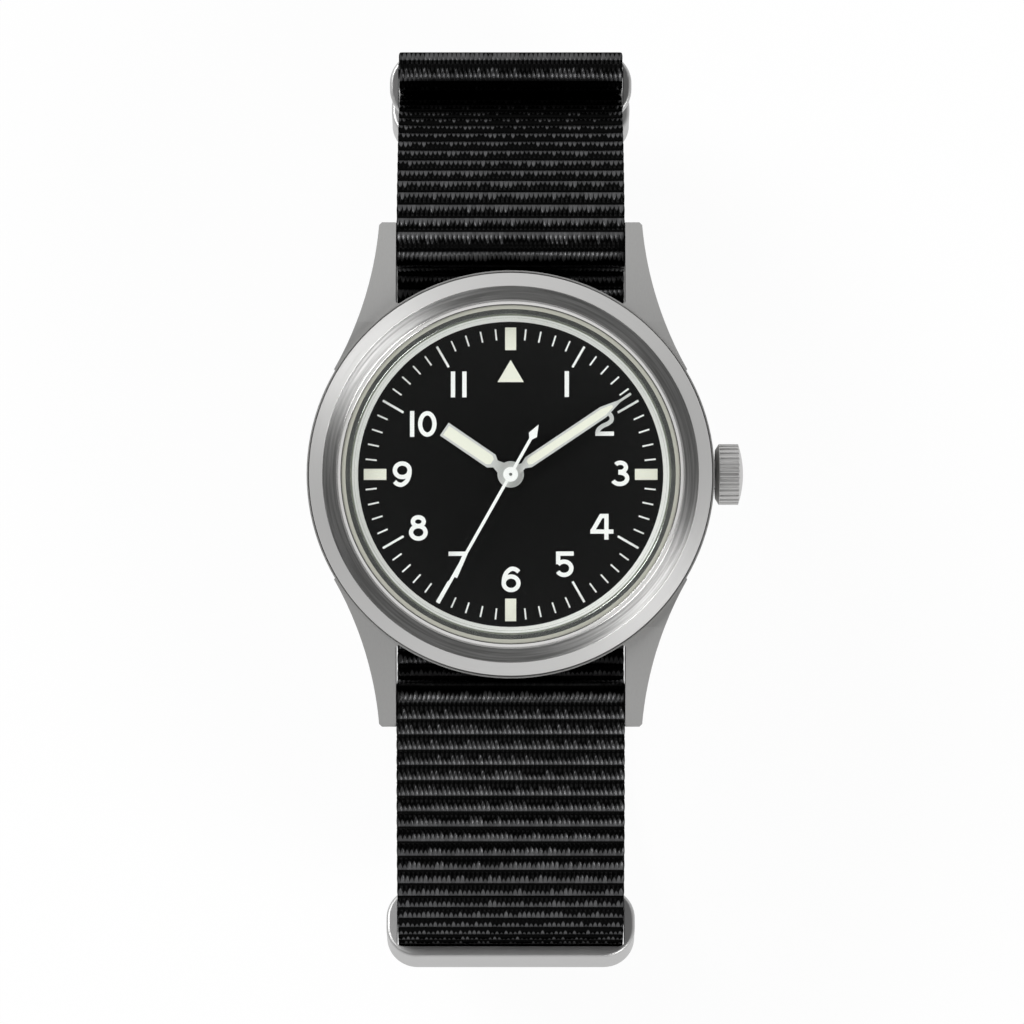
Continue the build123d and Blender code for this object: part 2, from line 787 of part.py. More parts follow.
def crystal():
    inner = crystal_radius - crystal_wall
    outer_arc = dome_arc(crystal_radius, crystal_edge_high, crystal_dome_outer)
    inner_arc = dome_arc(inner, crystal_shoulder_high, crystal_dome_inner)
    lines = [outer_arc, inner_arc,
             Line((0, level(crystal_dome_outer)), (0, level(crystal_dome_inner))),
             Line((inner, level(crystal_shoulder_high)), (inner, level(crystal_low))),
             Line((inner, level(crystal_low)), (crystal_radius, level(crystal_low))),
             Line((crystal_radius, level(crystal_low)),
                  (crystal_radius, level(crystal_edge_high)))]
    return turned(lines)


def crystal_gasket():
    return sleeve(bezel_bore - fit, crystal_radius + fit, level(crystal_low), level(gasket_high))


def flange_ring():
    return turned(Polyline((flange_foot_inner, level(dial_high)),
                           (flange_outer, level(dial_high)),
                           (flange_outer, level(flange_high)),
                           (flange_top_inner, level(flange_high)), close=True))


# Dial
def dial():
    return sleeve(dial_radius, dial_hole, level(dial_low), level(dial_high))


def dial_plots():
    """Luminous bars at 12, 3, 6 and 9, and the triangle at 12."""
    half = plot_width / 2
    bar = prism([(-half, plot_inner), (half, plot_inner), (half, plot_inner + plot_length),
                 (-half, plot_inner + plot_length)], level(dial_high), level(dial_high + plot_thick))
    triangle = prism([(0, triangle_apex),
                      (triangle_width / 2, triangle_apex - triangle_height),
                      (-triangle_width / 2, triangle_apex - triangle_height)],
                     level(dial_high), level(dial_high + plot_thick))
    return Compound([triangle] + [shown_at(bar, turn) for turn in (0, 90, 180, 270)])


# Hands, drawn pointing at 12
def waisted(boss, neck, shoulder, width):
    """Outline from a hand's boss out to the shoulder of its baton."""
    half = width / 2
    return [(neck, 0), (neck * waist_share, (boss + shoulder) / 2), (half, shoulder),
            (-half, shoulder), (-neck * waist_share, (boss + shoulder) / 2), (-neck, 0)]


def filling(shoulder, width, low, outer_end):
    """Luminous filling, narrowed towards the boss; outer_end is one side of its other end."""
    half = width / 2 - hand_rim
    side = [(half * lume_end_share, shoulder - lume_lead), (half, shoulder + hand_rim)] + outer_end
    mirrored = [(-x, y) for x, y in reversed(side)]
    return prism(side + mirrored, low, low + hand_thick)


def hour_filling():
    end = [(hour_width / 2 - hand_rim, hour_tip - hand_rim)]
    return filling(hour_shoulder, hour_width, level(hour_hand_low), end)


def minute_filling():
    end = [(minute_width / 2 - hand_rim, minute_taper),
           (lume_point_width / 2, minute_needle - lume_point_back)]
    return filling(minute_shoulder, minute_width, level(minute_hand_low), end)


def hour_hand():
    low = level(hour_hand_low)
    high = low + hand_thick
    half = hour_width / 2
    hand = disc(hour_boss, low, high)
    hand += prism(waisted(hour_boss, hour_neck, hour_shoulder, hour_width), low, high)
    hand += prism([(-half, hour_shoulder), (half, hour_shoulder), (half, hour_tip),
                   (-half, hour_tip)], low, high)
    hand -= hour_filling()
    hand -= disc(hour_tube_outer + fit, low - overrun, high + overrun)
    return shown_at(hand, hour_angle)


def hour_hand_lume():
    return shown_at(hour_filling(), hour_angle)


def minute_hand():
    low = level(minute_hand_low)
    high = low + hand_thick
    half = minute_width / 2
    point = needle_width / 2
    hand = disc(minute_boss, low, high)
    hand += prism(waisted(minute_boss, minute_neck, minute_shoulder, minute_width), low, high)
    hand += prism([(-half, minute_shoulder), (half, minute_shoulder), (half, minute_taper),
                   (point, minute_needle), (point, minute_tip), (-point, minute_tip),
                   (-point, minute_needle), (-half, minute_taper)], low, high)
    hand -= minute_filling()
    hand -= disc(cannon_outer + fit, low - overrun, high + overrun)
    return shown_at(hand, minute_angle)


def minute_hand_lume():
    return shown_at(minute_filling(), minute_angle)


def seconds_hand():
    low = level(seconds_hand_low)
    high = low + hand_thick
    half = seconds_width / 2
    base = seconds_tail - spade_length
    hand = disc(seconds_boss, low, high)
    hand += prism([(-half, -base), (half, -base), (half, seconds_tip), (-half, seconds_tip)],
                  low, high)
    side = spade_width / 2
    hand += prism([(half, -base), (side, -base - spade_shoulder), (0, -seconds_tail),
                   (-side, -base - spade_shoulder), (-half, -base)], low, high)
    hand -= disc(seconds_arbor + fit, low - overrun, high + overrun)
    return shown_at(hand, seconds_angle)


# Crown and stem
def crown():
    start = crown_start
    end = start + crown_length
    sphere = (crown_radius ** 2 + crown_dome ** 2) / (2 * crown_dome)
    half = math.asin(crown_radius / sphere) / 2
    middle = (end + crown_dome - sphere + sphere * math.cos(half), sphere * math.sin(half))
    rim = crown_radius - crown_chamfer_drop
    lines = [Line((start, 0), (start, rim)),
             Line((start, rim), (start + crown_chamfer, crown_radius)),
             Line((start + crown_chamfer, crown_radius), (end, crown_radius)),
             ThreePointArc((end, crown_radius), middle, (end + crown_dome, 0)),
             Line((end + crown_dome, 0), (start, 0))]
    knob = revolve(make_face(lines), axis=Axis.X)
    flute_start = start + crown_flute_start
    for index in range(crown_flutes):
        turn = index * 360 / crown_flutes
        groove = rod_x(crown_flute_radius, flute_start, end + crown_dome + overrun,
                       crown_radius + crown_flute_lift, 0)
        knob -= Rot(turn, 0, 0) * groove
    knob -= rod_x(crown_recess, start - overrun, start + crown_recess_depth, 0, 0)
    knob -= rod_x(stem_radius + fit, start, stem_end + fit, 0, 0)
    return Pos(0, 0, level(stem_level)) * knob


def stem():
    z = level(stem_level)
    shaft = rod_x(stem_thin, stem_start, stem_step, 0, z)
    shaft += rod_x(stem_radius, stem_step, stem_end, 0, z)
    groove_start = stem_groove_x - stem_groove_half
    groove_end = stem_groove_x + stem_groove_half
    groove = rod_x(stem_radius + overrun, groove_start, groove_end, 0, z)
    groove -= rod_x(stem_thin, groove_start - overrun, groove_end + overrun, 0, z)
    return shaft - groove


def crown_tube():
    z = level(stem_level)
    tube = rod_x(tube_outer, tube_start, tube_end, 0, z)
    return tube - rod_x(tube_inner, tube_start - overrun, tube_end + overrun, 0, z)


def crown_gasket():
    z = level(stem_level)
    end = crown_gasket_start + crown_gasket_length
    seal = rod_x(crown_recess - fit, crown_gasket_start, end, 0, z)
    return seal - rod_x(tube_outer + fit, crown_gasket_start - overrun, end + overrun, 0, z)


# Wheels
tooth_share = 0.18         # half a tooth at the pitch circle, share of the pitch
root_share = 0.24
tip_share = 0.08
addendum_share = 0.85      # of the module
dedendum_share = 1.15


def toothed(teeth, module, phase, low, high, x, y):
    """A toothed disc; phase is the angle of one tooth, in radians."""
    pitch = module * teeth / 2
    step = math.tau / teeth
    profile = [(pitch - dedendum_share * module, root_share),
               (pitch, tooth_share),
               (pitch + addendum_share * module, tip_share)]
    points = []
    for index in range(teeth):
        middle = phase + index * step
        rising = [(radius, middle - share * step) for radius, share in profile]
        falling = [(radius, middle + share * step) for radius, share in profile[::-1]]
        points += [(x + radius * math.cos(angle), y + radius * math.sin(angle))
                   for radius, angle in rising + falling]
    return prism(points, low, high)


def meshed(phase, teeth, other_teeth, way):
    """Phase of a wheel in mesh with one at the given phase, way being the angle to it."""
    return way + math.pi + math.pi / other_teeth - (phase - way) * teeth / other_teeth


def centre_to_centre(teeth, other_teeth, module):
    return module * (teeth + other_teeth) / 2


# Places and modules: each pair of stages shares one pair of axes
third_reach = centre_to_centre(seconds_leaves, third_teeth, third_module)
centre_module = 2 * third_reach / (third_leaves + centre_teeth)
fifth_reach = centre_to_centre(fifth_leaves, seconds_teeth, fifth_module)
rotor_reach = centre_to_centre(rotor_leaves, fifth_teeth, rotor_module)
motion_reach = centre_to_centre(cannon_leaves, minute_teeth, motion_module)
hour_module = 2 * motion_reach / (minute_leaves + hour_teeth)
setting_reach = centre_to_centre(minute_teeth, setting_teeth, motion_module)
third_place = polar(third_reach, third_angle)
fifth_place = polar(fifth_reach, fifth_angle)
minute_place = polar(motion_reach, minute_wheel_angle)


def beyond(place, distance, angle):
    step = polar(distance, angle)
    return place[0] + step[0], place[1] + step[1]


rotor_place = beyond(fifth_place, rotor_reach, rotor_angle)
setting_place = beyond(minute_place, setting_reach, setting_wheel_angle)
third_way = math.radians(third_angle)
fifth_way = math.radians(fifth_angle)
rotor_way = math.radians(rotor_angle)
motion_way = math.radians(minute_wheel_angle)
setting_way = math.radians(setting_wheel_angle)


def arbor(place, low=pivot_low, high=pivot_high):
    """A shaft with a fine pivot at each end, between the bridge and the main plate."""
    shaft = disc(arbor_radius, level(bridge_high + running), level(plate_low - running), *place)
    return shaft + disc(pivot_radius, level(low), level(high), *place)


def rotor():
    wheel = arbor(rotor_place)
    wheel += disc(rotor_magnet, level(rotor_magnet_low), level(rotor_magnet_high), *rotor_place)
    phase = meshed(0, fifth_teeth, rotor_leaves, rotor_way)
    return wheel + toothed(rotor_leaves, rotor_module, phase,
                           level(level_two - running), level(level_two + wheel_thick + running),
                           *rotor_place)


def fifth_wheel():
    wheel = arbor(fifth_place)
    wheel += toothed(fifth_teeth, rotor_module, 0, level(level_two),
                     level(level_two + wheel_thick), *fifth_place)
    return wheel + toothed(fifth_leaves, fifth_module, 0, level(level_one - fit),
                           level(level_one + wheel_thick + fit), *fifth_place)


def seconds_wheel():
    wheel = disc(seconds_arbor, level(pivot_low), level(seconds_hand_low + hand_thick))
    phase = meshed(0, fifth_leaves, seconds_teeth, fifth_way + math.pi)
    wheel += toothed(seconds_teeth, fifth_module, phase, level(level_one),
                     level(level_one + wheel_thick), 0, 0)
    return wheel + toothed(seconds_leaves, third_module, 0, level(level_one + wheel_thick),
                           level(level_two + wheel_thick + fit), 0, 0)


def third_phase():
    return meshed(0, seconds_leaves, third_teeth, third_way)


def third_wheel():
    wheel = arbor(third_place)
    wheel += toothed(third_teeth, third_module, third_phase(), level(level_two),
                     level(level_two + wheel_thick), *third_place)
    return wheel + toothed(third_leaves, centre_module, 0, level(level_two + wheel_thick),
                           level(level_three + wheel_thick + fit), *third_place)


def centre_wheel():
    phase = meshed(0, third_leaves, centre_teeth, third_way + math.pi)
    wheel = toothed(centre_teeth, centre_module, phase, level(level_three),
                    level(level_three + wheel_thick), 0, 0)
    wheel += disc(centre_arbor, level(level_three - running), level(minute_hand_low))
    return wheel - disc(centre_arbor_bore, level(level_one), level(seconds_hand_low))


def cannon_pinion():
    pinion = disc(cannon_outer, level(cannon_low), level(minute_hand_low + hand_thick))
    pinion += toothed(cannon_leaves, motion_module, 0, level(cannon_low),
                      level(cannon_gear_high), 0, 0)
    return pinion - disc(centre_arbor + fit, level(plate_low), level(seconds_hand_low))


def minute_phase():
    return meshed(0, cannon_leaves, minute_teeth, motion_way)


def minute_wheel():
    high = minute_wheel_low + wheel_thick
    wheel = toothed(minute_teeth, motion_module, minute_phase(), level(minute_wheel_low),
                    level(high), *minute_place)
    wheel += toothed(minute_leaves, hour_module, 0, level(high),
                     level(dial_low - running), *minute_place)
    return wheel - disc(gear_post + running, level(plate_high) - overrun,
                        level(dial_low) + overrun, *minute_place)


def hour_wheel():
    phase = meshed(0, minute_leaves, hour_teeth, motion_way + math.pi)
    high = hour_hand_low + hand_thick
    wheel = toothed(hour_teeth, hour_module, phase, level(hour_wheel_low),
                    level(dial_low - running), 0, 0)
    wheel += disc(hour_tube_outer, level(hour_wheel_low), level(high))
    return wheel - disc(hour_tube_inner, level(plate_high), level(high) + overrun)


def setting_wheel():
    phase = meshed(minute_phase(), minute_teeth, setting_teeth, setting_way)
    wheel = toothed(setting_teeth, motion_module, phase, level(minute_wheel_low),
                    level(minute_wheel_low + wheel_thick), *setting_place)
    return wheel - disc(gear_post + running, level(plate_high) - overrun,
                        level(dial_low) + overrun, *setting_place)


# Movement
post_places = [(x_share * plate_radius, y_share * plate_radius) for x_share, y_share in post_shares]


def main_plate():
    plate = disc(plate_radius, level(plate_low), level(plate_high))
    for place in post_places:
        plate += disc(post_radius, level(bridge_high), level(plate_low), *place)
        plate -= disc(screw_radius + fit, level(bridge_low) - overrun,
                      level(bridge_high + screw_depth), *place)
    clutch_room = clutch_start - clutch_travel - inner_gap
    plate -= block((clutch_room, plate_radius + overrun), (-stem_slot_half, stem_slot_half),
                   (level(plate_low) - overrun, level(plate_high) + overrun))
    stem_room = stem_thin + running
    plate -= block((stem_start - inner_gap, clutch_room + overrun), (-stem_room, stem_room),
                   (level(plate_low) - overrun, level(stem_level + stem_room)))
    plate -= disc(centre_arbor + running, level(plate_low) - overrun, level(plate_high) + overrun)
    for place in (third_place, fifth_place, rotor_place):
        plate -= disc(pivot_radius + running, level(plate_low) - overrun,
                      level(pivot_high + running), *place)
    for place in (minute_place, setting_place):
        plate += disc(gear_post, level(plate_high), level(minute_wheel_low + wheel_thick), *place)
    for place in ((stem_groove_x, lever_pivot_y), (clutch_middle, yoke_pivot_y)):
        plate += disc(pivot_screw, level(plate_high), level(yoke_low + yoke_thick), *place)
    return plate


def rounded_patch(places, radius, low, high):
    """A plate round a set of places, hulled in the dial's plane."""
    rounds = [Pos(x, y) * Circle(radius) for x, y in places]
    edges = [edge for disc_face in rounds for edge in disc_face.edges()]
    return Pos(0, 0, low) * extrude(make_hull(edges), amount=high - low)


def train_bridge():
    bridge = rounded_patch(post_places + [rotor_place, third_place], 2 * post_radius,
                           level(bridge_low), level(bridge_high))
    for place in post_places:
        bridge -= disc(screw_radius + fit, level(bridge_low) - overrun,
                       level(bridge_high) + overrun, *place)
    for place in (third_place, fifth_place, rotor_place):
        bridge -= disc(pivot_radius + running, level(pivot_low) - running,
                       level(bridge_high) + overrun, *place)
    bridge -= disc(battery_radius + inner_gap, level(bridge_low) - overrun,
                   level(bridge_high) + overrun, *polar(battery_distance, battery_angle))
    return bridge - disc(seconds_arbor + running, level(pivot_low) - running,
                         level(bridge_high) + overrun)


def movement_screws():
    screws = []
    for place in post_places:
        head_low = level(bridge_low - screw_head_thick)
        screw = disc(screw_head, head_low, level(bridge_low), *place)
        screws.append(screw + disc(screw_radius, level(bridge_low),
                                   level(bridge_high + screw_depth - running), *place))
    return Compound(screws)


def circuit_board():
    board = disc(board_radius, level(board_low), level(bridge_low))
    board -= disc(battery_radius + inner_gap, level(board_low) - overrun,
                  level(bridge_low) + overrun, *polar(battery_distance, battery_angle))
    for place in post_places:
        board -= disc(screw_head + inner_gap, level(board_low) - overrun,
                      level(bridge_low) + overrun, *place)
    return board


def chip():
    half = chip_size / 2
    return block((-half, half), (chip_y - half, chip_y + half),
                 (level(bridge_low), level(bridge_low + chip_thick)))


def quartz_can():
    x, y = polar(can_distance, can_angle)
    z = level(bridge_low) + can_radius
    return Pos(x, y, z) * Rot(0, 0, can_angle + 90) * Rot(0, 90, 0) * Cylinder(can_radius, can_length)


def battery():
    place = polar(battery_distance, battery_angle)
    return disc(battery_radius, level(battery_low), level(battery_high), *place)


def battery_clip():
    x, y = polar(battery_distance, battery_angle)
    low = level(clip_low)
    half = clip_length / 2
    side = clip_width / 2
    strip = block((-half, half), (-side, side), (low, low + clip_thick))
    return Pos(x, y, 0) * Rot(0, 0, battery_angle + 90) * strip


def by_rotor(shape):
    """Something drawn with the rotor at the origin and outwards along +X."""
    x, y = rotor_place
    return Pos(x, y, 0) * Rot(0, 0, math.degrees(math.atan2(y, x))) * shape


def stator():
    low, high = level(stator_low), level(stator_high)
    half = stator_half_length
    plate = block((-stator_half_width, stator_half_width), (-half, half), (low, high))
    for side in (1, -1):
        inner = side * (half - stator_arm)
        plate += block((0, coil_offset + core_width / 2),
                       (min(inner, side * half), max(inner, side * half)), (low, high))
    return by_rotor(plate - disc(stator_hole, low - overrun, high + overrun))


def coil_core():
    core = block((coil_offset - core_width / 2, coil_offset + core_width / 2),
                 (-stator_half_length, stator_half_length), (level(stator_high), level(core_high)))
    return by_rotor(core)


def coil():
    z = level((stator_high + core_high) / 2)
    winding = Pos(coil_offset, 0, z) * Rot(90, 0, 0) * Cylinder(coil_radius, 2 * coil_half_length)
    return by_rotor(winding) - coil_core()


def movement_holder():
    holder = sleeve(holder_outer, plate_radius + fit, level(holder_low), level(dial_low))
    holder += sleeve(holder_outer, holder_ledge, level(holder_low), level(plate_low))
    return holder - rod_x(stem_radius + inner_gap, holder_ledge - overrun, holder_outer + overrun,
                          0, level(stem_level))


# Keyless works
def clutch():
    z = level(stem_level)
    barrel = rod_x(clutch_radius, clutch_start, clutch_end, 0, z)
    groove_start = clutch_middle - clutch_groove_half
    groove_end = clutch_middle + clutch_groove_half
    groove = rod_x(clutch_radius + overrun, groove_start, groove_end, 0, z)
    groove -= rod_x(clutch_groove_radius, groove_start - overrun, groove_end + overrun, 0, z)
    barrel -= groove
    return barrel - rod_x(stem_thin + fit, clutch_start - overrun, clutch_end + overrun, 0, z)


def keyless_arm(x, pivot_y, low, thick, pin_radius, pin_low):
    """A lever from its pivot to a pin that rides in a groove on the stem's axis."""
    arm = rounded_patch([(x, pivot_y), (x, 0)], lever_width / 2, level(low), level(low + thick))
    arm += disc(lever_eye, level(low), level(low + thick), x, pivot_y)
    arm += disc(pin_radius, level(pin_low), level(low), x, 0)
    return arm - disc(pivot_screw + running, level(low) - overrun,
                      level(low + thick) + overrun, x, pivot_y)


def setting_lever():
    pin_low = stem_level + stem_thin + running
    return keyless_arm(stem_groove_x, lever_pivot_y, lever_low, lever_thick, lever_pin, pin_low)


def yoke():
    pin_low = stem_level + clutch_groove_radius + running
    return keyless_arm(clutch_middle, yoke_pivot_y, yoke_low, yoke_thick, yoke_pin, pin_low)


# Spring bars
def spring_bar_tubes():
    tubes = []
    for side in (1, -1):
        y = side * bar_reach
        tube = rod_x(bar_radius, -bar_half_length, bar_half_length, y, bar_level)
        inside = bar_half_length - bar_end_wall
        tube -= rod_x(bar_bore, -inside, inside, y, bar_level)
        tubes.append(tube - rod_x(tip_pin + running, -bar_half_length - overrun,
                                  bar_half_length + overrun, y, bar_level))
    return Compound(tubes)


def spring_bar_tip(side, end):
    """One spring bar's tip: side +1 at 12 o'clock, end +1 towards the crown."""
    y = side * bar_reach
    shoulder = bar_half_length - bar_end_wall - running
    tip = rod_x(tip_body, tip_tail, shoulder, y, bar_level)
    tip += rod_x(tip_pin, shoulder, tip_reach, y, bar_level)
    return tip if end > 0 else mirror(tip, Plane.YZ)


def spring_bar_springs():
    return Compound([rod_x(tip_body, -tip_tail, tip_tail, side * bar_reach, bar_level)
                     for side in (1, -1)])


nodes = {
    "case_body": case_body,
    "case_back": case_back,
    "case_back_gasket": case_back_gasket,
    "bezel": bezel,
    "crystal": crystal,
    "crystal_gasket": crystal_gasket,
    "flange_ring": flange_ring,
    "dial": dial,
    "dial_plots": dial_plots,
    "hour_hand": hour_hand,
    "hour_hand_lume": hour_hand_lume,
    "minute_hand": minute_hand,
    "minute_hand_lume": minute_hand_lume,
    "seconds_hand": seconds_hand,
    "crown": crown,
    "crown_gasket": crown_gasket,
    "crown_tube": crown_tube,
    "stem": stem,
    "movement_holder": movement_holder,
    "main_plate": main_plate,
    "train_bridge": train_bridge,
    "movement_screws": movement_screws,
    "circuit_board": circuit_board,
    "chip": chip,
    "quartz_can": quartz_can,
    "battery": battery,
    "battery_clip": battery_clip,
    "stator": stator,
    "coil_core": coil_core,
    "coil": coil,
    "rotor": rotor,
    "fifth_wheel": fifth_wheel,
    "seconds_wheel": seconds_wheel,
    "third_wheel": third_wheel,
    "centre_wheel": centre_wheel,
    "cannon_pinion": cannon_pinion,
    "minute_wheel": minute_wheel,
    "hour_wheel": hour_wheel,
    "setting_wheel": setting_wheel,
    "clutch": clutch,
    "setting_lever": setting_lever,
    "yoke": yoke,
    "spring_bar_tubes": spring_bar_tubes,
    "spring_bar_springs": spring_bar_springs,
    "main_strap": main_strap,
    "flap_strap": flap_strap,
    "flap_ring": flap_ring,
    "keeper_near": keeper_near,
    "keeper_far": keeper_far,
    "buckle_frame": buckle_frame,
    "buckle_tongue": buckle_tongue,
}

os.makedirs("parts", exist_ok=True)
for name, build in nodes.items():
    export_step(build(), f"parts/{name}.step")
for hour, side in ((12, 1), (6, -1)):
    for end_name, end in (("crown", 1), ("plain", -1)):
        export_step(spring_bar_tip(side, end), f"parts/spring_bar_tip_{hour}_{end_name}.step")
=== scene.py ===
import math

import bmesh
import bpy
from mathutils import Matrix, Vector


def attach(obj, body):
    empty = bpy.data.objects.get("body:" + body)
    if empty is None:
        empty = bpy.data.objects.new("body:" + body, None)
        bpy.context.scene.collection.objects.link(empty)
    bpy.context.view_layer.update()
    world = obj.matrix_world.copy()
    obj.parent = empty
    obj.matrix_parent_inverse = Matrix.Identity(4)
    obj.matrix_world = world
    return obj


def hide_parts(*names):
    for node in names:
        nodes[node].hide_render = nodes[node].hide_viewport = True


# Looks of a field watch on its closed webbing strap
# Lengths are in millimetres, and turned into metres where a mesh or a material takes them
# Scales of grain count its repeats in a metre
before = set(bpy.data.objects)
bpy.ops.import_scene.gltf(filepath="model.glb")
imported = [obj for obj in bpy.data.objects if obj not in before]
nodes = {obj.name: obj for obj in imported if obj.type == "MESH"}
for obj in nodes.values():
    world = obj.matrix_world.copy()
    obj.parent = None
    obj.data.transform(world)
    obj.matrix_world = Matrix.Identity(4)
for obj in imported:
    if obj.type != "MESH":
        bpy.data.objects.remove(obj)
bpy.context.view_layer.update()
mm = 0.001

# Heights, counted from the table
back_level = 34.0
dial_top = back_level + 5.5
bezel_top = back_level + 8.45

# Bezel profile: radius, and height above the case back
bezel_radius = 17.8
bezel_foot = 6.3
bezel_edge = 7.25
bezel_band_inner = 16.6
bezel_band_high = 8.15
bezel_groove = 0.12
bezel_lip_outer = 15.38
bezel_lip_top = 15.0
bezel_lip_high = 8.45
bezel_bore = 14.92
bezel_shelf_inner = 14.0
bezel_shelf_high = 6.95
bezel_round = 0.06
bezel_rim_round = 0.12
band_slack = 0.02          # margins where a face's middle decides on its finish
rim_slack = 0.03
run_share = 0.45           # most of a run that one corner's rounding may take
bezel_segments = 256
bezel_satin, bezel_brushed, bezel_polished = 0, 1, 2    # order of its finishes

# Rounding of the sharp edges of solids
case_round = 0.12
crown_round = 0.04
hand_round = 0.05
ring_round = 0.22
soft_angle = 30            # degrees, from which an edge is sharp

# Dial print
print_thick = 0.03
minute_inner, minute_outer, minute_width = 11.83, 12.8, 0.14
hour_inner, hour_outer, hour_width = 10.86, 12.95, 0.2
number_high = 2.27
stroke = 0.166             # of a number's height
arc_step = 8               # degrees, about, between the points of an arc
crossing_rise = 0.1        # of the print's thickness, for a digit's second stroke
number_gaps = {10: 0.136, 11: 0.265}    # between its digits, of its height
number_places = {
    1: (4.93, 7.93), 2: (8.26, 4.51), 3: (9.6, 0.09), 4: (8.01, -4.59), 5: (4.71, -7.89),
    6: (0.04, -9.22), 7: (-4.6, -7.9), 8: (-8.11, -4.7), 9: (-9.52, 0.02),
    10: (-7.67, 4.43), 11: (-4.56, 7.9),
}

# Ring under the crystal
flange_split = 13.8        # radius where its pale part ends
flange_blur = 0.03
flange_pale = (0.94, 0.94, 0.91, 1)
flange_olive = (0.2, 0.215, 0.17, 1)

# Brushing of the bezel's two bands, and streaks on the inner one
ring_stretch = (9000.0, 3.0, 3.0)       # of the grain: across the rings, and along them
streak_scale = 0.7                      # of the grain's scale
streak_span = (0.35, 0.65)              # part of the noise that runs from dark to pale
streak_dark = (0.38, 0.378, 0.372, 1)
streak_pale = (0.62, 0.617, 0.61, 1)

# Webbing
webbing = 1.3
webbing_width = 20.2
rib_pitch = 1.36
rib_depth = 0.3
rib_rows = 8               # rows of faces along one rib
rib_power = 0.75           # lower is fuller
rib_fullness = 0.95        # below 1, a groove ends before its full depth
flap_phase = 0.3           # of a rib, that the short piece's ribs are shifted
yarn_pitch = 0.41
yarn_relief = 0.07         # in the material's bump
web_columns = 24           # columns of faces across the webbing
edge_columns = 3           # and round each of its edges
edge_round = 0.2
edge_swell = 0.05          # how far a rib's end stands out at the selvedge
edge_depth_share = 0.5     # depth of the ribs at the selvedge
corner_turn = 70           # degrees, from which an outline has a corner
cap_slack = 0.02           # between the thickness and the measured end of a strap
weld = 0.0001              # between points that are one
plane_slack = 0.001        # between points of one plane

# Painted light on the webbing: a painted highlight line along each rib, with a tooth on each
# yarn, and painted shade around them
# The nylon's black, also used as painted shade: it takes the yarns' reflection away in the
# furrows and between the ribs
yarn_black_and_shade = (0.004, 0.004, 0.004, 1)
# Painted highlight: the yarns' reflectance on each rib's lit line and teeth
painted_highlight_colour = (0.085, 0.085, 0.087, 1)
selvedge_highlight_share = 0.25      # share of the painted highlight left on the selvedge
line_place = -0.22         # in ribs from the crest, away from the watch
line_fade = (0.05, 0.12)   # in ribs from the middle of the line
line_light = 0.9
tooth_reach = (0.3, 0.55)  # least and most, in ribs from the line
tooth_taper = 0.35         # how much less it reaches at a yarn's sides
tooth_root_fade = (-0.05, 0.03)         # in ribs, as at the tip
tooth_tip_fade = (-0.08, 0.04)
tooth_side_fade = (0.3, 0.48)           # in yarns from a yarn's middle
tooth_side_light = 0.3     # share of a tooth's light left at its sides
yarn_tones = (0.75, 1.25)  # brightness from yarn to yarn
fibre_tones = (0.6, 1.4)   # and from fibre to fibre
fibre_span = (0.3, 0.7)    # part of the noise that runs from darkest to lightest
fibre_stretch = (30000, 2500, 2500)
fibre_relief = 0.3         # share of the yarn's own

# Fine grain of the inner parts' roughness
plain_grain = 4000.0
plain_spread = 0.08

# Studio
sky = ((0.0, 1.0), (0.45, 0.95), (0.75, 0.38), (0.93, 0.09), (1.0, 0.05))   # height, brightness
side_dimming = 0.34        # how much darker the room is to the left and right
floor_half = 3000.0
floor_drop = 0.02          # below the table's level, so that it cuts nothing
floor_pale = (0.95, 0.95, 0.95)
floor_glow = 0.94          # share of plain white in what the camera sees of it
lamp_side, lamp_back, lamp_high = 420.0, 353.0, 545.0
lamp_size = 350.0
upper_left_power = 3.2
lower_right_power = 2.2

# Camera: straight down on the dial
camera_distance = 550.0    # above the bezel
camera_x = 0.12
camera_y = -3.33
camera_near, camera_far = 10.0, 20000.0
picture_px = 1024
sensor = 36.0
px_per_mm = 11.35          # at the bezel


# Node helpers
def node(tree, kind, inputs=None, **settings):
    """A shader node with its inputs linked or set."""
    made = tree.nodes.new(kind)
    for name, value in settings.items():
        setattr(made, name, value)
    for socket, value in (inputs or {}).items():
        if isinstance(value, bpy.types.NodeSocket):
            tree.links.new(value, made.inputs[socket])
        else:
            made.inputs[socket].default_value = value
    return made


def finish(name, colour, **sockets):
    """A new material with a Principled shader; socket names use _ for a space."""
    material = bpy.data.materials.new(name)
    material.use_nodes = True
    shader = material.node_tree.nodes["Principled BSDF"]
    shader.inputs["Base Color"].default_value = (*colour[:3], 1)
    for socket, value in sockets.items():
        shader.inputs[socket.replace("_", " ")].default_value = value
    return material, material.node_tree, shader


def calc(tree, operation, a, b=0.0):
    """One step of arithmetic on sockets or numbers."""
    return node(tree, "ShaderNodeMath", {0: a, 1: b}, operation=operation).outputs[0]


def between(tree, value, low, high, start, end):
    """A value that runs from start to end as another runs from low to high."""
    return node(tree, "ShaderNodeMapRange", {"Value": value, "From Min": low, "From Max": high,
                                             "To Min": start, "To Max": end}).outputs[0]


def vector_step(tree, operation, a, b=(0.0, 0.0, 0.0)):
    """One step of arithmetic on vectors."""
    return node(tree, "ShaderNodeVectorMath", {0: a, 1: b}, operation=operation)


def split(tree, vector):
    """The three parts of a vector."""
    return node(tree, "ShaderNodeSeparateXYZ", {0: vector}).outputs


def object_place(tree):
    return node(tree, "ShaderNodeTexCoord").outputs["Object"]


def noise(tree, vector, detail, scale=1.0):
    return node(tree, "ShaderNodeTexNoise", {"Vector": vector, "Scale": scale,
                                             "Detail": detail}).outputs[0]


def blend(tree, share, first, second, **settings):
    """A colour between two, by a share from 0 to 1."""
    return node(tree, "ShaderNodeMix", {0: share, 6: first, 7: second}, data_type="RGBA",
                **settings).outputs[2]


def add_bump(tree, shader, height, strength, depth):
    raised = node(tree, "ShaderNodeBump", {"Height": height, "Strength": strength,
                                           "Distance": depth * mm})
    tree.links.new(raised.outputs[0], shader.inputs["Normal"])


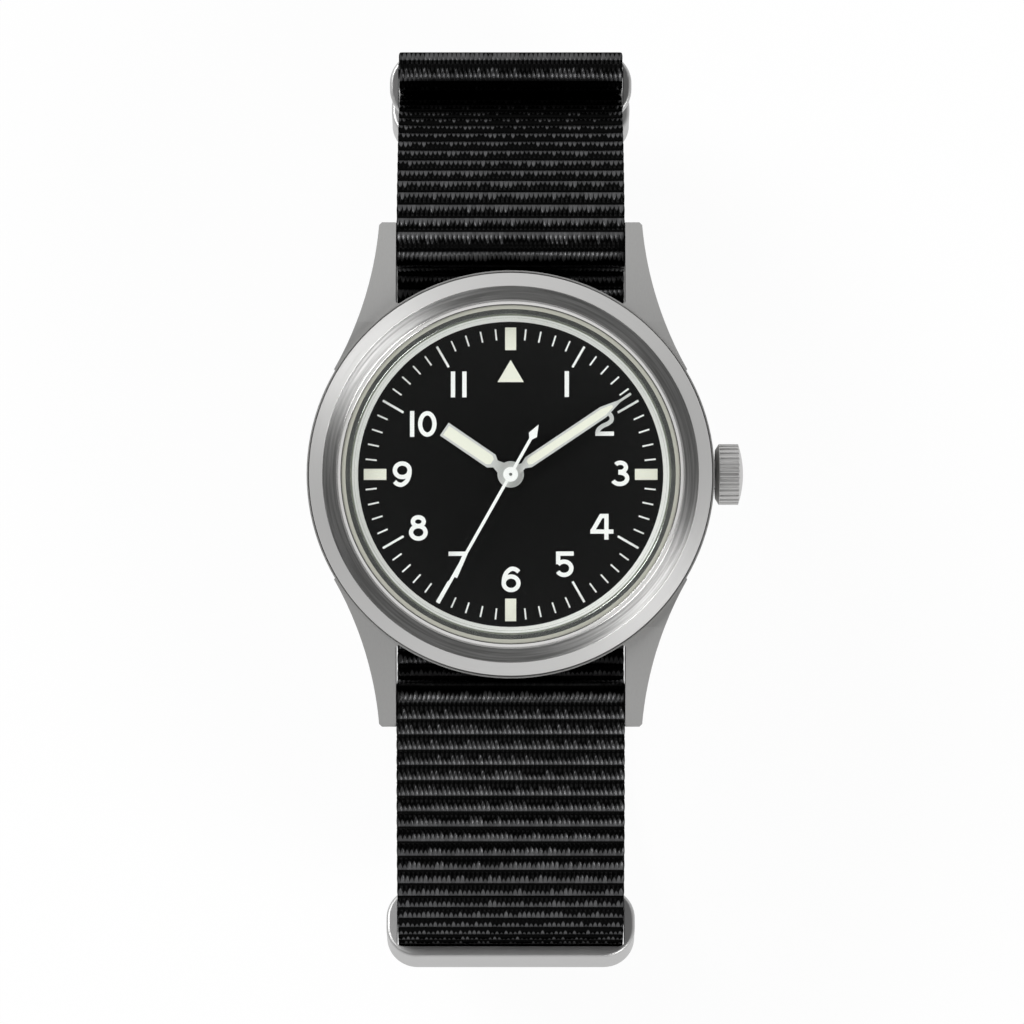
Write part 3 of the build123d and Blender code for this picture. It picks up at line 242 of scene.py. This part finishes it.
def add_roughness(tree, shader, pattern, low, high):
    tree.links.new(between(tree, pattern, 0.0, 1.0, low, high), shader.inputs["Roughness"])


def flat_place(tree):
    """Object coordinates without their height."""
    parts = split(tree, object_place(tree))
    return node(tree, "ShaderNodeCombineXYZ", {0: parts[0], 1: parts[1]}).outputs[0]


def distance_out(tree):
    """Distance from the dial's axis."""
    return vector_step(tree, "LENGTH", flat_place(tree)).outputs["Value"]


def ring_grain(tree):
    """Coordinates that stretch noise into rings round the dial's axis."""
    heading = split(tree, vector_step(tree, "NORMALIZE", flat_place(tree)).outputs[0])
    joined = node(tree, "ShaderNodeCombineXYZ", {0: distance_out(tree), 1: heading[0],
                                                 2: heading[1]})
    return vector_step(tree, "MULTIPLY", joined.outputs[0], ring_stretch).outputs[0]


def straight_grain(tree, stretch):
    """Coordinates that stretch noise into straight lines."""
    return node(tree, "ShaderNodeMapping", {"Vector": object_place(tree),
                                            "Scale": stretch}).outputs[0]


# Steel
def brushed(name, colour, bump, rough, stretch=None, **sockets):
    """Steel with a grain in its bump (strength, depth) and its roughness (lowest, highest).

    The grain runs in rings round the dial's axis, or straight where its stretch is given."""
    material, tree, shader = finish(name, colour, Metallic=1.0, **sockets)
    grain = straight_grain(tree, stretch) if stretch else ring_grain(tree)
    lines = noise(tree, grain, detail=4.0)
    add_bump(tree, shader, lines, *bump)
    add_roughness(tree, shader, lines, *rough)
    return material, tree, shader


def satin_ring():
    """The bezel's outer band."""
    return brushed("satin_ring_steel", (0.57, 0.567, 0.56), bump=(0.25, 0.02),
                   rough=(0.28, 0.42))[0]


def brushed_ring():
    """The bezel's inner band: rings in streaks, which spread the light along them."""
    material, tree, shader = brushed("brushed_ring_steel", streak_pale, bump=(0.6, 0.05),
                                     rough=(0.24, 0.46), Anisotropic=0.9,
                                     Anisotropic_Rotation=0.25)
    streaks = noise(tree, ring_grain(tree), detail=2.0, scale=streak_scale)
    tones = blend(tree, between(tree, streaks, *streak_span, 0.0, 1.0), streak_dark, streak_pale)
    tree.links.new(tones, shader.inputs["Base Color"])
    around = node(tree, "ShaderNodeTangent", direction_type="RADIAL", axis="Z")
    tree.links.new(around.outputs[0], shader.inputs["Tangent"])
    return material


def polished():
    """The bezel's lip and walls."""
    return brushed("polished_steel", (0.68, 0.675, 0.665), bump=(0.03, 0.02), rough=(0.1, 0.16),
                   stretch=(900, 900, 900))[0]


def satin():
    """Case and buckle."""
    return brushed("satin_steel", (0.39, 0.388, 0.383), bump=(0.3, 0.02), rough=(0.58, 0.7),
                   stretch=(12000, 700, 12000))[0]


def ring_polish():
    """Flap ring and keepers."""
    return brushed("ring_polish", (0.47, 0.468, 0.465), bump=(0.04, 0.02), rough=(0.38, 0.46),
                   stretch=(700, 700, 700))[0]


def crown_steel():
    return brushed("crown_steel", (0.53, 0.526, 0.52), bump=(0.08, 0.01), rough=(0.36, 0.48),
                   stretch=(3000, 9000, 9000))[0]


def hand_steel():
    """The hands' pale rims."""
    material, tree, shader = finish("hand_steel", (0.62, 0.62, 0.61), Metallic=0.5)
    grain = straight_grain(tree, (7000, 7000, 7000))
    add_roughness(tree, shader, noise(tree, grain, detail=3.0), low=0.45, high=0.6)
    return material


# Other materials
def glass():
    return finish("crystal_glass", (0.97, 1.0, 0.98), Roughness=0.0, IOR=1.5,
                  Transmission_Weight=1.0)[0]


def rubber():
    return finish("seal_rubber", (0.02, 0.02, 0.02), Roughness=0.6)[0]


def dial_black():
    material, tree, shader = finish("black_dial", (0.0015, 0.0015, 0.0015), Roughness=0.75,
                                    Specular_IOR_Level=0.05)
    speckle = noise(tree, object_place(tree), detail=3.0, scale=9000.0)
    add_bump(tree, shader, speckle, strength=0.15, depth=0.02)
    return material


def printed(name, colour, scale, strength):
    """White print or luminous paint, with a fine grain."""
    material, tree, shader = finish(name, colour, Roughness=0.6)
    speckle = noise(tree, object_place(tree), detail=4.0, scale=scale)
    add_bump(tree, shader, speckle, strength, depth=0.04)
    return material


def two_tone_flange():
    """The ring under the crystal: pale at the dial, and olive out from there."""
    material, tree, shader = finish("flange_paint", flange_pale, Roughness=0.5)
    outer = between(tree, distance_out(tree), (flange_split - flange_blur) * mm,
                    (flange_split + flange_blur) * mm, 0.0, 1.0)
    tree.links.new(blend(tree, outer, flange_pale, flange_olive), shader.inputs["Base Color"])
    return material


def plain(name, colour, roughness, metallic=0.0):
    """A machined or moulded inner part, with a fine grain."""
    material, tree, shader = finish(name, colour, Metallic=metallic)
    speckle = noise(tree, object_place(tree), detail=3.0, scale=plain_grain)
    add_roughness(tree, shader, speckle, roughness - plain_spread, roughness + plain_spread)
    return material


# Webbing's material
def weave(tree):
    """Place on the weave: ribs from the crest towards the watch, yarns from a yarn's middle,
    chance for each yarn on each rib, and 0 to 1 over the selvedge."""
    u, v = split(tree, node(tree, "ShaderNodeUVMap", uv_map="weave").outputs[0])[:2]
    side = calc(tree, "SIGN", split(tree, object_place(tree))[1])
    along = calc(tree, "MULTIPLY", calc(tree, "SUBTRACT", 0.5, calc(tree, "FRACT", v)), side)
    rib = calc(tree, "FLOOR", v)
    shift = calc(tree, "MULTIPLY", calc(tree, "MODULO", rib, 2.0), 0.5)
    turns = calc(tree, "ADD", u, shift)
    across = calc(tree, "ABSOLUTE", calc(tree, "SUBTRACT", calc(tree, "FRACT", turns), 0.5))
    cell = node(tree, "ShaderNodeCombineXYZ", {0: calc(tree, "FLOOR", turns), 1: rib})
    chance = node(tree, "ShaderNodeTexWhiteNoise", {"Vector": cell.outputs[0]},
                  noise_dimensions="2D").outputs["Value"]
    selvedge = between(tree, calc(tree, "ABSOLUTE", u),
                       (webbing_width / 2 - edge_round) / yarn_pitch,
                       webbing_width / 2 / yarn_pitch, 0.0, 1.0)
    return along, across, chance, selvedge


def lit_share(tree, along, across, chance):
    """1 on the painted highlight: a rib's lit line and its teeth, which point towards the watch.
    """
    from_line = calc(tree, "SUBTRACT", along, line_place)
    on_line = between(tree, calc(tree, "ABSOLUTE", from_line), *line_fade, line_light, 0.0)
    aside = calc(tree, "POWER", calc(tree, "MULTIPLY", across, 2.0), 2.0)
    reach = calc(tree, "SUBTRACT", between(tree, chance, 0.0, 1.0, *tooth_reach),
                 calc(tree, "MULTIPLY", aside, tooth_taper))
    tooth = between(tree, calc(tree, "SUBTRACT", from_line, reach), *tooth_tip_fade, 1.0, 0.0)
    for fade in (between(tree, from_line, *tooth_root_fade, 0.0, 1.0),
                 between(tree, across, *tooth_side_fade, 1.0, tooth_side_light)):
        tooth = calc(tree, "MULTIPLY", tooth, fade)
    return calc(tree, "MAXIMUM", on_line, tooth)


def nylon():
    """Black webbing: glossy yarns over ribs. Its base colour is their reflectance, which paints
    a highlight on each rib's line and teeth and paints shade in the furrows and between the
    ribs.
    """
    material, tree, shader = finish("black_webbing", yarn_black_and_shade, Metallic=1.0, Roughness=0.32,
                                    Specular_Tint=(0.4, 0.4, 0.4, 1.0))
    along, across, chance, selvedge = weave(tree)
    fibres = noise(tree, straight_grain(tree, fibre_stretch), detail=3.0)
    highlight = lit_share(tree, along, across, chance)
    for factor in (between(tree, chance, 0.0, 1.0, *yarn_tones),
                   between(tree, fibres, *fibre_span, *fibre_tones),
                   between(tree, selvedge, 0.0, 1.0, 1.0, selvedge_highlight_share)):
        highlight = calc(tree, "MULTIPLY", highlight, factor)
    tones = blend(tree, highlight, yarn_black_and_shade, painted_highlight_colour, clamp_factor=False)
    tree.links.new(tones, shader.inputs["Base Color"])
    crown = calc(tree, "POWER", between(tree, across, 0.0, 0.5, 1.0, 0.0), 0.5)
    height = calc(tree, "ADD", crown, calc(tree, "MULTIPLY", fibres, fibre_relief))
    add_bump(tree, shader, height, strength=0.6, depth=yarn_relief)
    return material


# Mesh helpers
def new_object(name, verts, faces, materials, body, slots=None, smooth=True):
    """A mesh in millimetres, riding on a body."""
    mesh = bpy.data.meshes.new(name)
    mesh.from_pydata([[value * mm for value in vert] for vert in verts], [], faces)
    for material in materials:
        mesh.materials.append(material)
    mesh.polygons.foreach_set("use_smooth", [smooth] * len(mesh.polygons))
    if slots:
        mesh.polygons.foreach_set("material_index", slots)
    mesh.validate()
    made = bpy.data.objects.new(name, mesh)
    bpy.context.scene.collection.objects.link(made)
    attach(made, body)
    return made


def rounded(points, radii, steps=4):
    """A closed outline with every corner rounded, as far as its runs allow."""
    result = []
    count = len(points)
    for index, corner in enumerate(points):
        here = Vector(corner)
        before = Vector(points[index - 1]) - here
        after = Vector(points[(index + 1) % count]) - here
        half = before.angle(after) / 2
        cut = min(radii[index] / math.tan(half), before.length * run_share,
                  after.length * run_share)
        start = here + before.normalized() * cut
        end = here + after.normalized() * cut
        for step in range(steps + 1):
            t = step / steps
            curve = (1 - t) ** 2 * start + 2 * t * (1 - t) * here + t ** 2 * end
            result.append((curve.x, curve.y))
    return result


def lathe(name, profile, materials, zone_of, body, segments):
    """A closed profile of (radius, height) turned round the dial's axis."""
    count = len(profile)
    verts, faces, slots = [], [], []
    for step in range(segments):
        turn = math.tau * step / segments
        verts += [(r * math.cos(turn), r * math.sin(turn), z) for r, z in profile]
    for step in range(segments):
        here, there = step * count, (step + 1) % segments * count
        for index in range(count):
            follow = (index + 1) % count
            faces.append((here + index, there + index, there + follow, here + follow))
            a, b = profile[index], profile[follow]
            slots.append(zone_of((a[0] + b[0]) / 2, (a[1] + b[1]) / 2))
    return new_object(name, verts, faces, materials, body, slots)


def face_outwards(made):
    """Makes the normals of a closed mesh point outwards."""
    work = bmesh.new()
    work.from_mesh(made.data)
    bmesh.ops.recalc_face_normals(work, faces=work.faces)
    work.to_mesh(made.data)
    work.free()


def even_normals(made):
    """Shades large faces flat up to their rounded edges."""
    weighted = made.modifiers.new("normals", "WEIGHTED_NORMAL")
    weighted.keep_sharp = True


def soften(made, width):
    """Rounds the sharp edges of a solid so that they catch the light."""
    bevel = made.modifiers.new("edges", "BEVEL")
    bevel.width = width * mm
    bevel.segments = 3
    bevel.limit_method = "ANGLE"
    bevel.angle_limit = math.radians(soft_angle)
    bevel.harden_normals = True
    even_normals(made)


# Strokes of the numbers, in shares of a number's height
def arc(centre, radii, start, end):
    """Points on an ellipse from one angle to another, in degrees."""
    steps = max(4, int(abs(end - start) / arc_step))
    points = []
    for step in range(steps + 1):
        turn = math.radians(start + (end - start) * step / steps)
        points.append((centre[0] + radii[0] * math.cos(turn),
                       centre[1] + radii[1] * math.sin(turn)))
    return points


def spline(points, steps=6):
    """A smooth line through points."""
    ends = [points[0]] + points + [points[-1]]
    line = []
    for a, b, c, d in zip(ends, ends[1:], ends[2:], ends[3:]):
        for step in range(steps):
            t = step / steps
            line.append(tuple(0.5 * (2 * b[k] + (c[k] - a[k]) * t
                                     + (2 * a[k] - 5 * b[k] + 4 * c[k] - d[k]) * t ** 2
                                     + (3 * b[k] - a[k] - 3 * c[k] + d[k]) * t ** 3)
                              for k in (0, 1)))
    return line + [points[-1]]


def six():
    stem = spline([(0.087, 0.35), (0.11, 0.56), (0.2, 0.77), (0.38, 0.905), (0.55, 0.885),
                   (0.67, 0.79)])
    return [arc((0.372, 0.35), (0.285, 0.262), 0, 360), stem]


def turned_over(lines, width):
    return [[(width - x, 1 - y) for x, y in line] for line in lines]


def shapes():
    """Centre lines of the strokes of each digit, and its width."""
    bar = [(0.088, 0), (0.088, 1)]
    two = arc((0.36, 0.68), (0.276, 0.232), 165, -30)
    two += spline([two[-1], (0.47, 0.47), (0.26, 0.37), (0.12, 0.24), (0.09, 0.12)])[1:]
    three_top = arc((0.38, 0.735), (0.215, 0.177), 145, -90) + [(0.3, 0.558)]
    three_low = [(0.3, 0.53)] + arc((0.36, 0.309), (0.284, 0.221), 90, -155)
    five = [(0.73, 0.912), (0.13, 0.912), (0.13, 0.5)]
    return {
        "0": ([arc((0.363, 0.5), (0.275, 0.412), 0, 360)], 0.727),
        "1": ([bar], 0.176),
        "2": ([two, [(0, 0.088), (0.72, 0.088)]], 0.727),
        "3": ([three_top, three_low], 0.733),
        "4": ([[(0.622, 0), (0.622, 0.912), (0.42, 0.912), (0.088, 0.34), (0.088, 0.311)],
               [(0, 0.311), (0.894, 0.311)]], 0.894),
        "5": ([five, arc((0.36, 0.345), (0.28, 0.257), 146, -150)], 0.733),
        "6": (six(), 0.745),
        "7": ([[(0, 0.912), (0.7, 0.912)], [(0.665, 0.95), (0.253, 0)]], 0.747),
        "8": ([arc((0.37, 0.743), (0.209, 0.169), 0, 360),
               arc((0.37, 0.328), (0.28, 0.24), 0, 360)], 0.736),
        "9": (turned_over(six(), 0.745), 0.745),
    }


def thick_line(points, half):
    """Left and right sides of a line of constant width, with mitred corners."""
    closed = math.dist(points[0], points[-1]) < half / 10
    if closed:
        points = points[:-1]
    count = len(points)
    left, right = [], []
    for index, here in enumerate(points):
        before = points[index - 1] if closed or index else here
        after = points[(index + 1) % count] if closed or index < count - 1 else here
        into = Vector(here) - Vector(before)
        out = Vector(after) - Vector(here)
        into = into if into.length else out
        out = out if out.length else into
        way = (into.normalized() + out.normalized()).normalized()
        reach = half / max(0.5, way.dot(into.normalized()))
        side = Vector((-way.y, way.x)) * reach
        left.append((here[0] + side.x, here[1] + side.y))
        right.append((here[0] - side.x, here[1] - side.y))
    return left, right, closed


def raised_line(points, half, low, high, verts, faces):
    """Adds a flat raised line to a mesh."""
    left, right, closed = thick_line(points, half)
    count = len(left)
    first = len(verts)
    for side, z in ((left, high), (right, high), (right, low), (left, low)):
        verts += [(x, y, z) for x, y in side]
    for index in range(count if closed else count - 1):
        follow = (index + 1) % count
        for row in range(4):
            a, b = first + row * count, first + (row + 1) % 4 * count
            faces.append((a + index, b + index, b + follow, a + follow))
    if not closed:
        for index in (0, count - 1):
            faces.append(tuple(first + row * count + index for row in range(4)))


def print_on_dial(name, verts, faces, white):
    face_outwards(new_object(name, verts, faces, [white], "watch", smooth=False))


def dial_numbers(white):
    """The hour numbers, upright, as printed strokes."""
    drawn = shapes()
    verts, faces = [], []
    for hour, (x, y) in number_places.items():
        digits = str(hour)
        gap = number_gaps.get(hour, 0)
        width = sum(drawn[digit][1] for digit in digits) + gap * (len(digits) - 1)
        start = -width / 2
        for digit in digits:
            lines, own = drawn[digit]
            for order, line in enumerate(lines):
                placed = [(x + (start + px) * number_high, y + (py - 0.5) * number_high)
                          for px, py in line]
                high = dial_top + print_thick * (1 + order * crossing_rise)
                raised_line(placed, stroke * number_high / 2, dial_top, high, verts, faces)
            start += own + gap
    print_on_dial("dial_numbers", verts, faces, white)


def minute_marks(white):
    """The printed minute and hour marks, but for the luminous ones."""
    verts, faces = [], []
    for minute in range(60):
        if minute % 15 == 0:
            continue
        on_hour = minute % 5 == 0
        inner, outer, width = ((hour_inner, hour_outer, hour_width) if on_hour
                               else (minute_inner, minute_outer, minute_width))
        turn = math.radians(90 - minute * 6)
        line = [(r * math.cos(turn), r * math.sin(turn)) for r in (inner, outer)]
        raised_line(line, width / 2, dial_top, dial_top + print_thick, verts, faces)
    print_on_dial("minute_marks", verts, faces, white)


# Bezel
def bezel_zone(r, z):
    """Which finish a face of the bezel has."""
    height = z - back_level
    if r > bezel_band_inner - band_slack and height > bezel_edge - rim_slack:
        return bezel_satin
    if r > bezel_lip_outer + band_slack and height > bezel_edge:
        return bezel_brushed
    return bezel_polished


def bezel(satin_steel, brushed_steel, polished_steel):
    """The bezel with its edges rounded, and a finish for each of its bands."""
    low = bezel_band_high - bezel_groove
    outline = [(bezel_shelf_inner, bezel_foot), (bezel_radius, bezel_foot),
               (bezel_radius, bezel_edge), (bezel_band_inner, bezel_band_high),
               (bezel_band_inner, low), (bezel_lip_outer, low), (bezel_lip_top, bezel_lip_high),
               (bezel_bore, bezel_lip_high), (bezel_bore, bezel_shelf_high),
               (bezel_shelf_inner, bezel_shelf_high)]
    rounds = [bezel_rim_round if point == (bezel_radius, bezel_edge) else bezel_round
              for point in outline]
    profile = [(r, back_level + z) for r, z in rounded(outline, rounds)]
    made = lathe("bezel_dressed", profile, [satin_steel, brushed_steel, polished_steel],
                 bezel_zone, "watch", bezel_segments)
    face_outwards(made)
    even_normals(made)
    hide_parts("bezel")


# Webbing, drawn over the edge of its solid
def edge_loop(name):
    """The outline of a strap's solid on its -X edge, as an ordered loop of (y, z)."""
    work = bmesh.new()
    work.from_mesh(nodes[name].data)
    bmesh.ops.remove_doubles(work, verts=work.verts, dist=weld * mm)
    edge_x = min(vert.co.x for vert in work.verts)
    on_edge = {vert for vert in work.verts if abs(vert.co.x - edge_x) < plane_slack * mm}
    links = {}
    for edge in work.edges:
        if not all(vert in on_edge for vert in edge.verts):
            continue
        flat = [all(vert in on_edge for vert in face.verts) for face in edge.link_faces]
        if len(flat) == 2 and flat[0] != flat[1]:
            a, b = edge.verts
            links.setdefault(a, []).append(b)
            links.setdefault(b, []).append(a)
    start = next(iter(links))
    loop, before, here = [start], None, start
    while True:
        following = [vert for vert in links[here] if vert is not before][0]
        if following is start:
            break
        loop.append(following)
        before, here = here, following
    points = [Vector((vert.co.y / mm, vert.co.z / mm)) for vert in loop]
    work.free()
    return points


def middle_line(name):
    """The middle of a strap's thickness, found from one of its two faces."""
    loop = edge_loop(name)
    count = len(loop)
    corners = []
    for index in range(count):
        into = loop[index] - loop[index - 1]
        out = loop[(index + 1) % count] - loop[index]
        if into.angle(out) > math.radians(corner_turn):
            corners.append(index)
    starts = [i for i, j in zip(corners, corners[1:] + corners[:1])
              if abs((loop[j] - loop[i]).length - webbing) < cap_slack]
    first = (starts[0] + 1) % count
    last = starts[1]
    face = [loop[(first + step) % count] for step in range((last - first) % count + 1)]
    cap = loop[starts[0]] - loop[first]
    line = []
    for index, here in enumerate(face):
        into = here - face[index - 1] if index else face[1] - here
        out = face[index + 1] - here if index < len(face) - 1 else into
        way = (into.normalized() + out.normalized()).normalized()
        side = Vector((-way.y, way.x))
        if index == 0:
            flip = -1 if side.dot(cap) < 0 else 1
        line.append(here + side * flip * webbing / 2)
    return line


def even_steps(line, step):
    """The same line with points at even steps, and the direction at each."""
    lengths = [0]
    for a, b in zip(line, line[1:]):
        lengths.append(lengths[-1] + (b - a).length)
    count = int(lengths[-1] / step)
    points, index = [], 0
    for number in range(count + 1):
        goal = lengths[-1] * number / count
        while index < len(line) - 2 and lengths[index + 1] < goal:
            index += 1
        share = (goal - lengths[index]) / max(1e-9, lengths[index + 1] - lengths[index])
        points.append(line[index].lerp(line[index + 1], share))
    ways = []
    for number in range(count + 1):
        a = points[max(0, number - 2)]
        b = points[min(count, number + 2)]
        ways.append((b - a).normalized())
    return points, ways


def columns():
    """Places across the webbing: x, and share of the full thickness there."""
    half = webbing_width / 2
    inner = half - edge_round
    edge = []
    for step in range(edge_columns):
        turn = math.radians(90 * (1 - step / edge_columns))
        fall = (1 - math.cos(turn)) * edge_round / (webbing / 2)
        edge.append((inner + edge_round * math.sin(turn), 1 - fall))
    flat = [(-inner + 2 * inner * step / web_columns, 1.0) for step in range(web_columns + 1)]
    return [(-x, thick) for x, thick in edge] + flat + edge[::-1]


def skin_points(points, ways, across, phase):
    """Points of the ribbed surface on both faces of a strap, and their place on the weave."""
    verts, places = [], []
    for face_side in (1, -1):
        for row, (here, way) in enumerate(zip(points, ways)):
            out = Vector((-way.y, way.x)) * face_side
            turns = row / rib_rows + phase
            place = 2 * (turns % 1) - 1
            ridge = (1 - (rib_fullness * place) ** 2) ** rib_power
            for x, thick in across:
                at_edge = thick < 1
                depth = rib_depth * (edge_depth_share if at_edge else 1)
                rise = (webbing / 2 - depth * (1 - ridge)) * thick
                swell = math.copysign(edge_swell * (2 * ridge - 1), x) if at_edge else 0
                verts.append((x + swell, here.x + out.x * rise, here.y + out.y * rise))
                places.append((x / yarn_pitch, turns))
    return verts, places


def skin_faces(rows, width):
    """Faces over both sides of a strap, along its edges and over its ends."""
    under = rows * width
    faces = []
    for row in range(rows - 1):
        for column in range(width - 1):
            a, b = row * width + column, (row + 1) * width + column
            faces.append((a, a + 1, b + 1, b))
            faces.append((under + a, under + b, under + b + 1, under + a + 1))
            if column == 0:
                faces.append((a, b, under + b, under + a))
            if column == width - 2:
                faces.append((b + 1, a + 1, under + a + 1, under + b + 1))
            if row == 0:
                faces.append((a + 1, a, under + a, under + a + 1))
            if row == rows - 2:
                faces.append((b, b + 1, under + b + 1, under + b))
    return faces


def webbing_skin(name, material, phase):
    """A ribbed surface over a strap; its map counts yarns across and ribs along."""
    points, ways = even_steps(middle_line(name), rib_pitch / rib_rows)
    across = columns()
    verts, places = skin_points(points, ways, across, phase)
    faces = skin_faces(len(points), len(across))
    made = new_object(name + "_webbing", verts, faces, [material], "watch")
    face_outwards(made)
    layer = made.data.uv_layers.new(name="weave")
    for loop in made.data.loops:
        layer.data[loop.index].uv = places[loop.vertex_index]
    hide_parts(name)


# Studio
def floor():
    """A pale floor that stays white for the camera but keeps the shadow."""
    corners = ((-1, -1), (1, -1), (1, 1), (-1, 1))
    verts = [(x * floor_half * mm, y * floor_half * mm, 0) for x, y in corners]
    material, tree, shader = finish("floor", floor_pale, Roughness=0.9)
    glow = node(tree, "ShaderNodeEmission", {"Strength": 1.0})
    seen = node(tree, "ShaderNodeLightPath").outputs
    clear = calc(tree, "MAXIMUM", seen["Is Camera Ray"], seen["Is Glossy Ray"])
    clear = calc(tree, "MAXIMUM", clear, seen["Is Transmission Ray"])
    mix = node(tree, "ShaderNodeMixShader", {0: calc(tree, "MULTIPLY", clear, floor_glow),
                                             1: shader.outputs[0], 2: glow.outputs[0]})
    tree.links.new(mix.outputs[0], tree.nodes["Material Output"].inputs["Surface"])
    mesh = bpy.data.meshes.new("floor")
    mesh.from_pydata(verts, [], [(0, 1, 2, 3)])
    mesh.materials.append(material)
    made = bpy.data.objects.new("floor", mesh)
    bpy.context.scene.collection.objects.link(made)
    made.location.z = -floor_drop * mm


def surroundings():
    """A soft studio: darker straight above, brighter towards the horizon."""
    world = bpy.data.worlds.new("studio")
    bpy.context.scene.world = world
    world.use_nodes = True
    tree = world.node_tree
    parts = split(tree, node(tree, "ShaderNodeTexCoord").outputs["Generated"])
    ramp = node(tree, "ShaderNodeValToRGB", {0: parts[2]})
    stops = ramp.color_ramp.elements
    for stop, (height, value) in zip((stops[0], stops[1]), (sky[0], sky[-1])):
        stop.position, stop.color = height, (value, value, value, 1)
    for height, value in sky[1:-1]:
        stops.new(height).color = (value, value, value, 1)
    dimming = calc(tree, "MULTIPLY", calc(tree, "POWER", parts[0], 2.0), side_dimming)
    background = tree.nodes["Background"]
    tree.links.new(ramp.outputs[0], background.inputs["Color"])
    tree.links.new(calc(tree, "SUBTRACT", 1.0, dimming), background.inputs["Strength"])
    backdrop = node(tree, "ShaderNodeBackground", {"Color": (1, 1, 1, 1), "Strength": 1.0})
    seen = node(tree, "ShaderNodeLightPath")
    mix = node(tree, "ShaderNodeMixShader", {0: seen.outputs["Is Camera Ray"],
                                             1: background.outputs[0], 2: backdrop.outputs[0]})
    tree.links.new(mix.outputs[0], tree.nodes["World Output"].inputs["Surface"])


def soft_box(name, place, energy):
    """A square area light aimed at the watch."""
    data = bpy.data.lights.new(name, "AREA")
    data.shape = "SQUARE"
    data.size = lamp_size * mm
    data.energy = energy
    lamp = bpy.data.objects.new(name, data)
    lamp.location = Vector(place) * mm
    target = Vector((0, 0, back_level * mm))
    lamp.rotation_euler = (target - lamp.location).to_track_quat("-Z", "Y").to_euler()
    bpy.context.scene.collection.objects.link(lamp)


def camera():
    data = bpy.data.cameras.new("camera")
    data.sensor_width = sensor
    data.lens = sensor * px_per_mm * camera_distance / picture_px
    data.clip_start = camera_near * mm
    data.clip_end = camera_far * mm
    made = bpy.data.objects.new("camera", data)
    made.location = (camera_x * mm, camera_y * mm, (bezel_top + camera_distance) * mm)
    bpy.context.scene.collection.objects.link(made)
    bpy.context.scene.camera = made


# Everything put together
def dress(material, *names):
    """Gives nodes one material."""
    for name in names:
        made = nodes[name]
        made.data.materials.clear()
        made.data.materials.append(material)


camera()
surroundings()
floor()
soft_box("upper_left", (-lamp_side, lamp_back, lamp_high), upper_left_power)
soft_box("lower_right", (lamp_side, -lamp_back, lamp_high), lower_right_power)
bpy.context.scene.view_settings.view_transform = "Standard"

steel = satin()
shiny = polished()
ring_steel = satin_ring()
flat_steel = brushed_ring()
bright = hand_steel()
lume = printed("luminous_paint", (0.88, 0.875, 0.765), scale=6000.0, strength=0.5)
white = printed("white_print", (0.97, 0.97, 0.96), scale=9000.0, strength=0.2)
seal = printed("pale_seal", (0.42, 0.42, 0.36), scale=5000.0, strength=0.1)
brass = plain("movement_brass", (0.72, 0.55, 0.26), roughness=0.3, metallic=1.0)
plastic = plain("movement_plastic", (0.02, 0.025, 0.02), roughness=0.5)
copper = plain("copper_winding", (0.6, 0.25, 0.1), roughness=0.35, metallic=1.0)
grey = plain("movement_steel", (0.45, 0.45, 0.45), roughness=0.3, metallic=1.0)
cloth = nylon()

dress(crown_steel(), "crown")
dress(steel, "case_body", "case_back", "buckle_frame", "buckle_tongue", "spring_bar_tubes",
      "spring_bar_tip_12_crown", "spring_bar_tip_12_plain",
      "spring_bar_tip_6_crown", "spring_bar_tip_6_plain")
dress(ring_polish(), "flap_ring", "keeper_near", "keeper_far", "crown_tube", "stem")
dress(two_tone_flange(), "flange_ring")
dress(bright, "hour_hand", "minute_hand", "cannon_pinion", "centre_wheel", "hour_wheel")
dress(white, "seconds_hand")
dress(lume, "hour_hand_lume", "minute_hand_lume", "dial_plots")
dress(dial_black(), "dial")
dress(glass(), "crystal")
dress(rubber(), "case_back_gasket", "crown_gasket")
dress(seal, "crystal_gasket")
dress(brass, "main_plate", "train_bridge", "fifth_wheel", "third_wheel", "minute_wheel",
      "setting_wheel")
dress(plastic, "movement_holder", "circuit_board", "chip")
dress(copper, "coil")
dress(grey, "seconds_wheel", "movement_screws", "stator", "coil_core", "rotor", "clutch",
      "setting_lever", "yoke", "battery", "battery_clip", "quartz_can", "spring_bar_springs")
soften(nodes["case_body"], case_round)
soften(nodes["crown"], crown_round)
for name in ("hour_hand", "minute_hand"):
    soften(nodes[name], hand_round)
for name in ("flap_ring", "keeper_near", "keeper_far"):
    soften(nodes[name], ring_round)

# The clear crystal casts no shadow on the dial
nodes["crystal"].visible_shadow = False
nodes["crystal"].visible_diffuse = False

bezel(ring_steel, flat_steel, shiny)
dial_numbers(white)
minute_marks(white)
webbing_skin("main_strap", cloth, phase=0.0)
webbing_skin("flap_strap", cloth, phase=flap_phase)
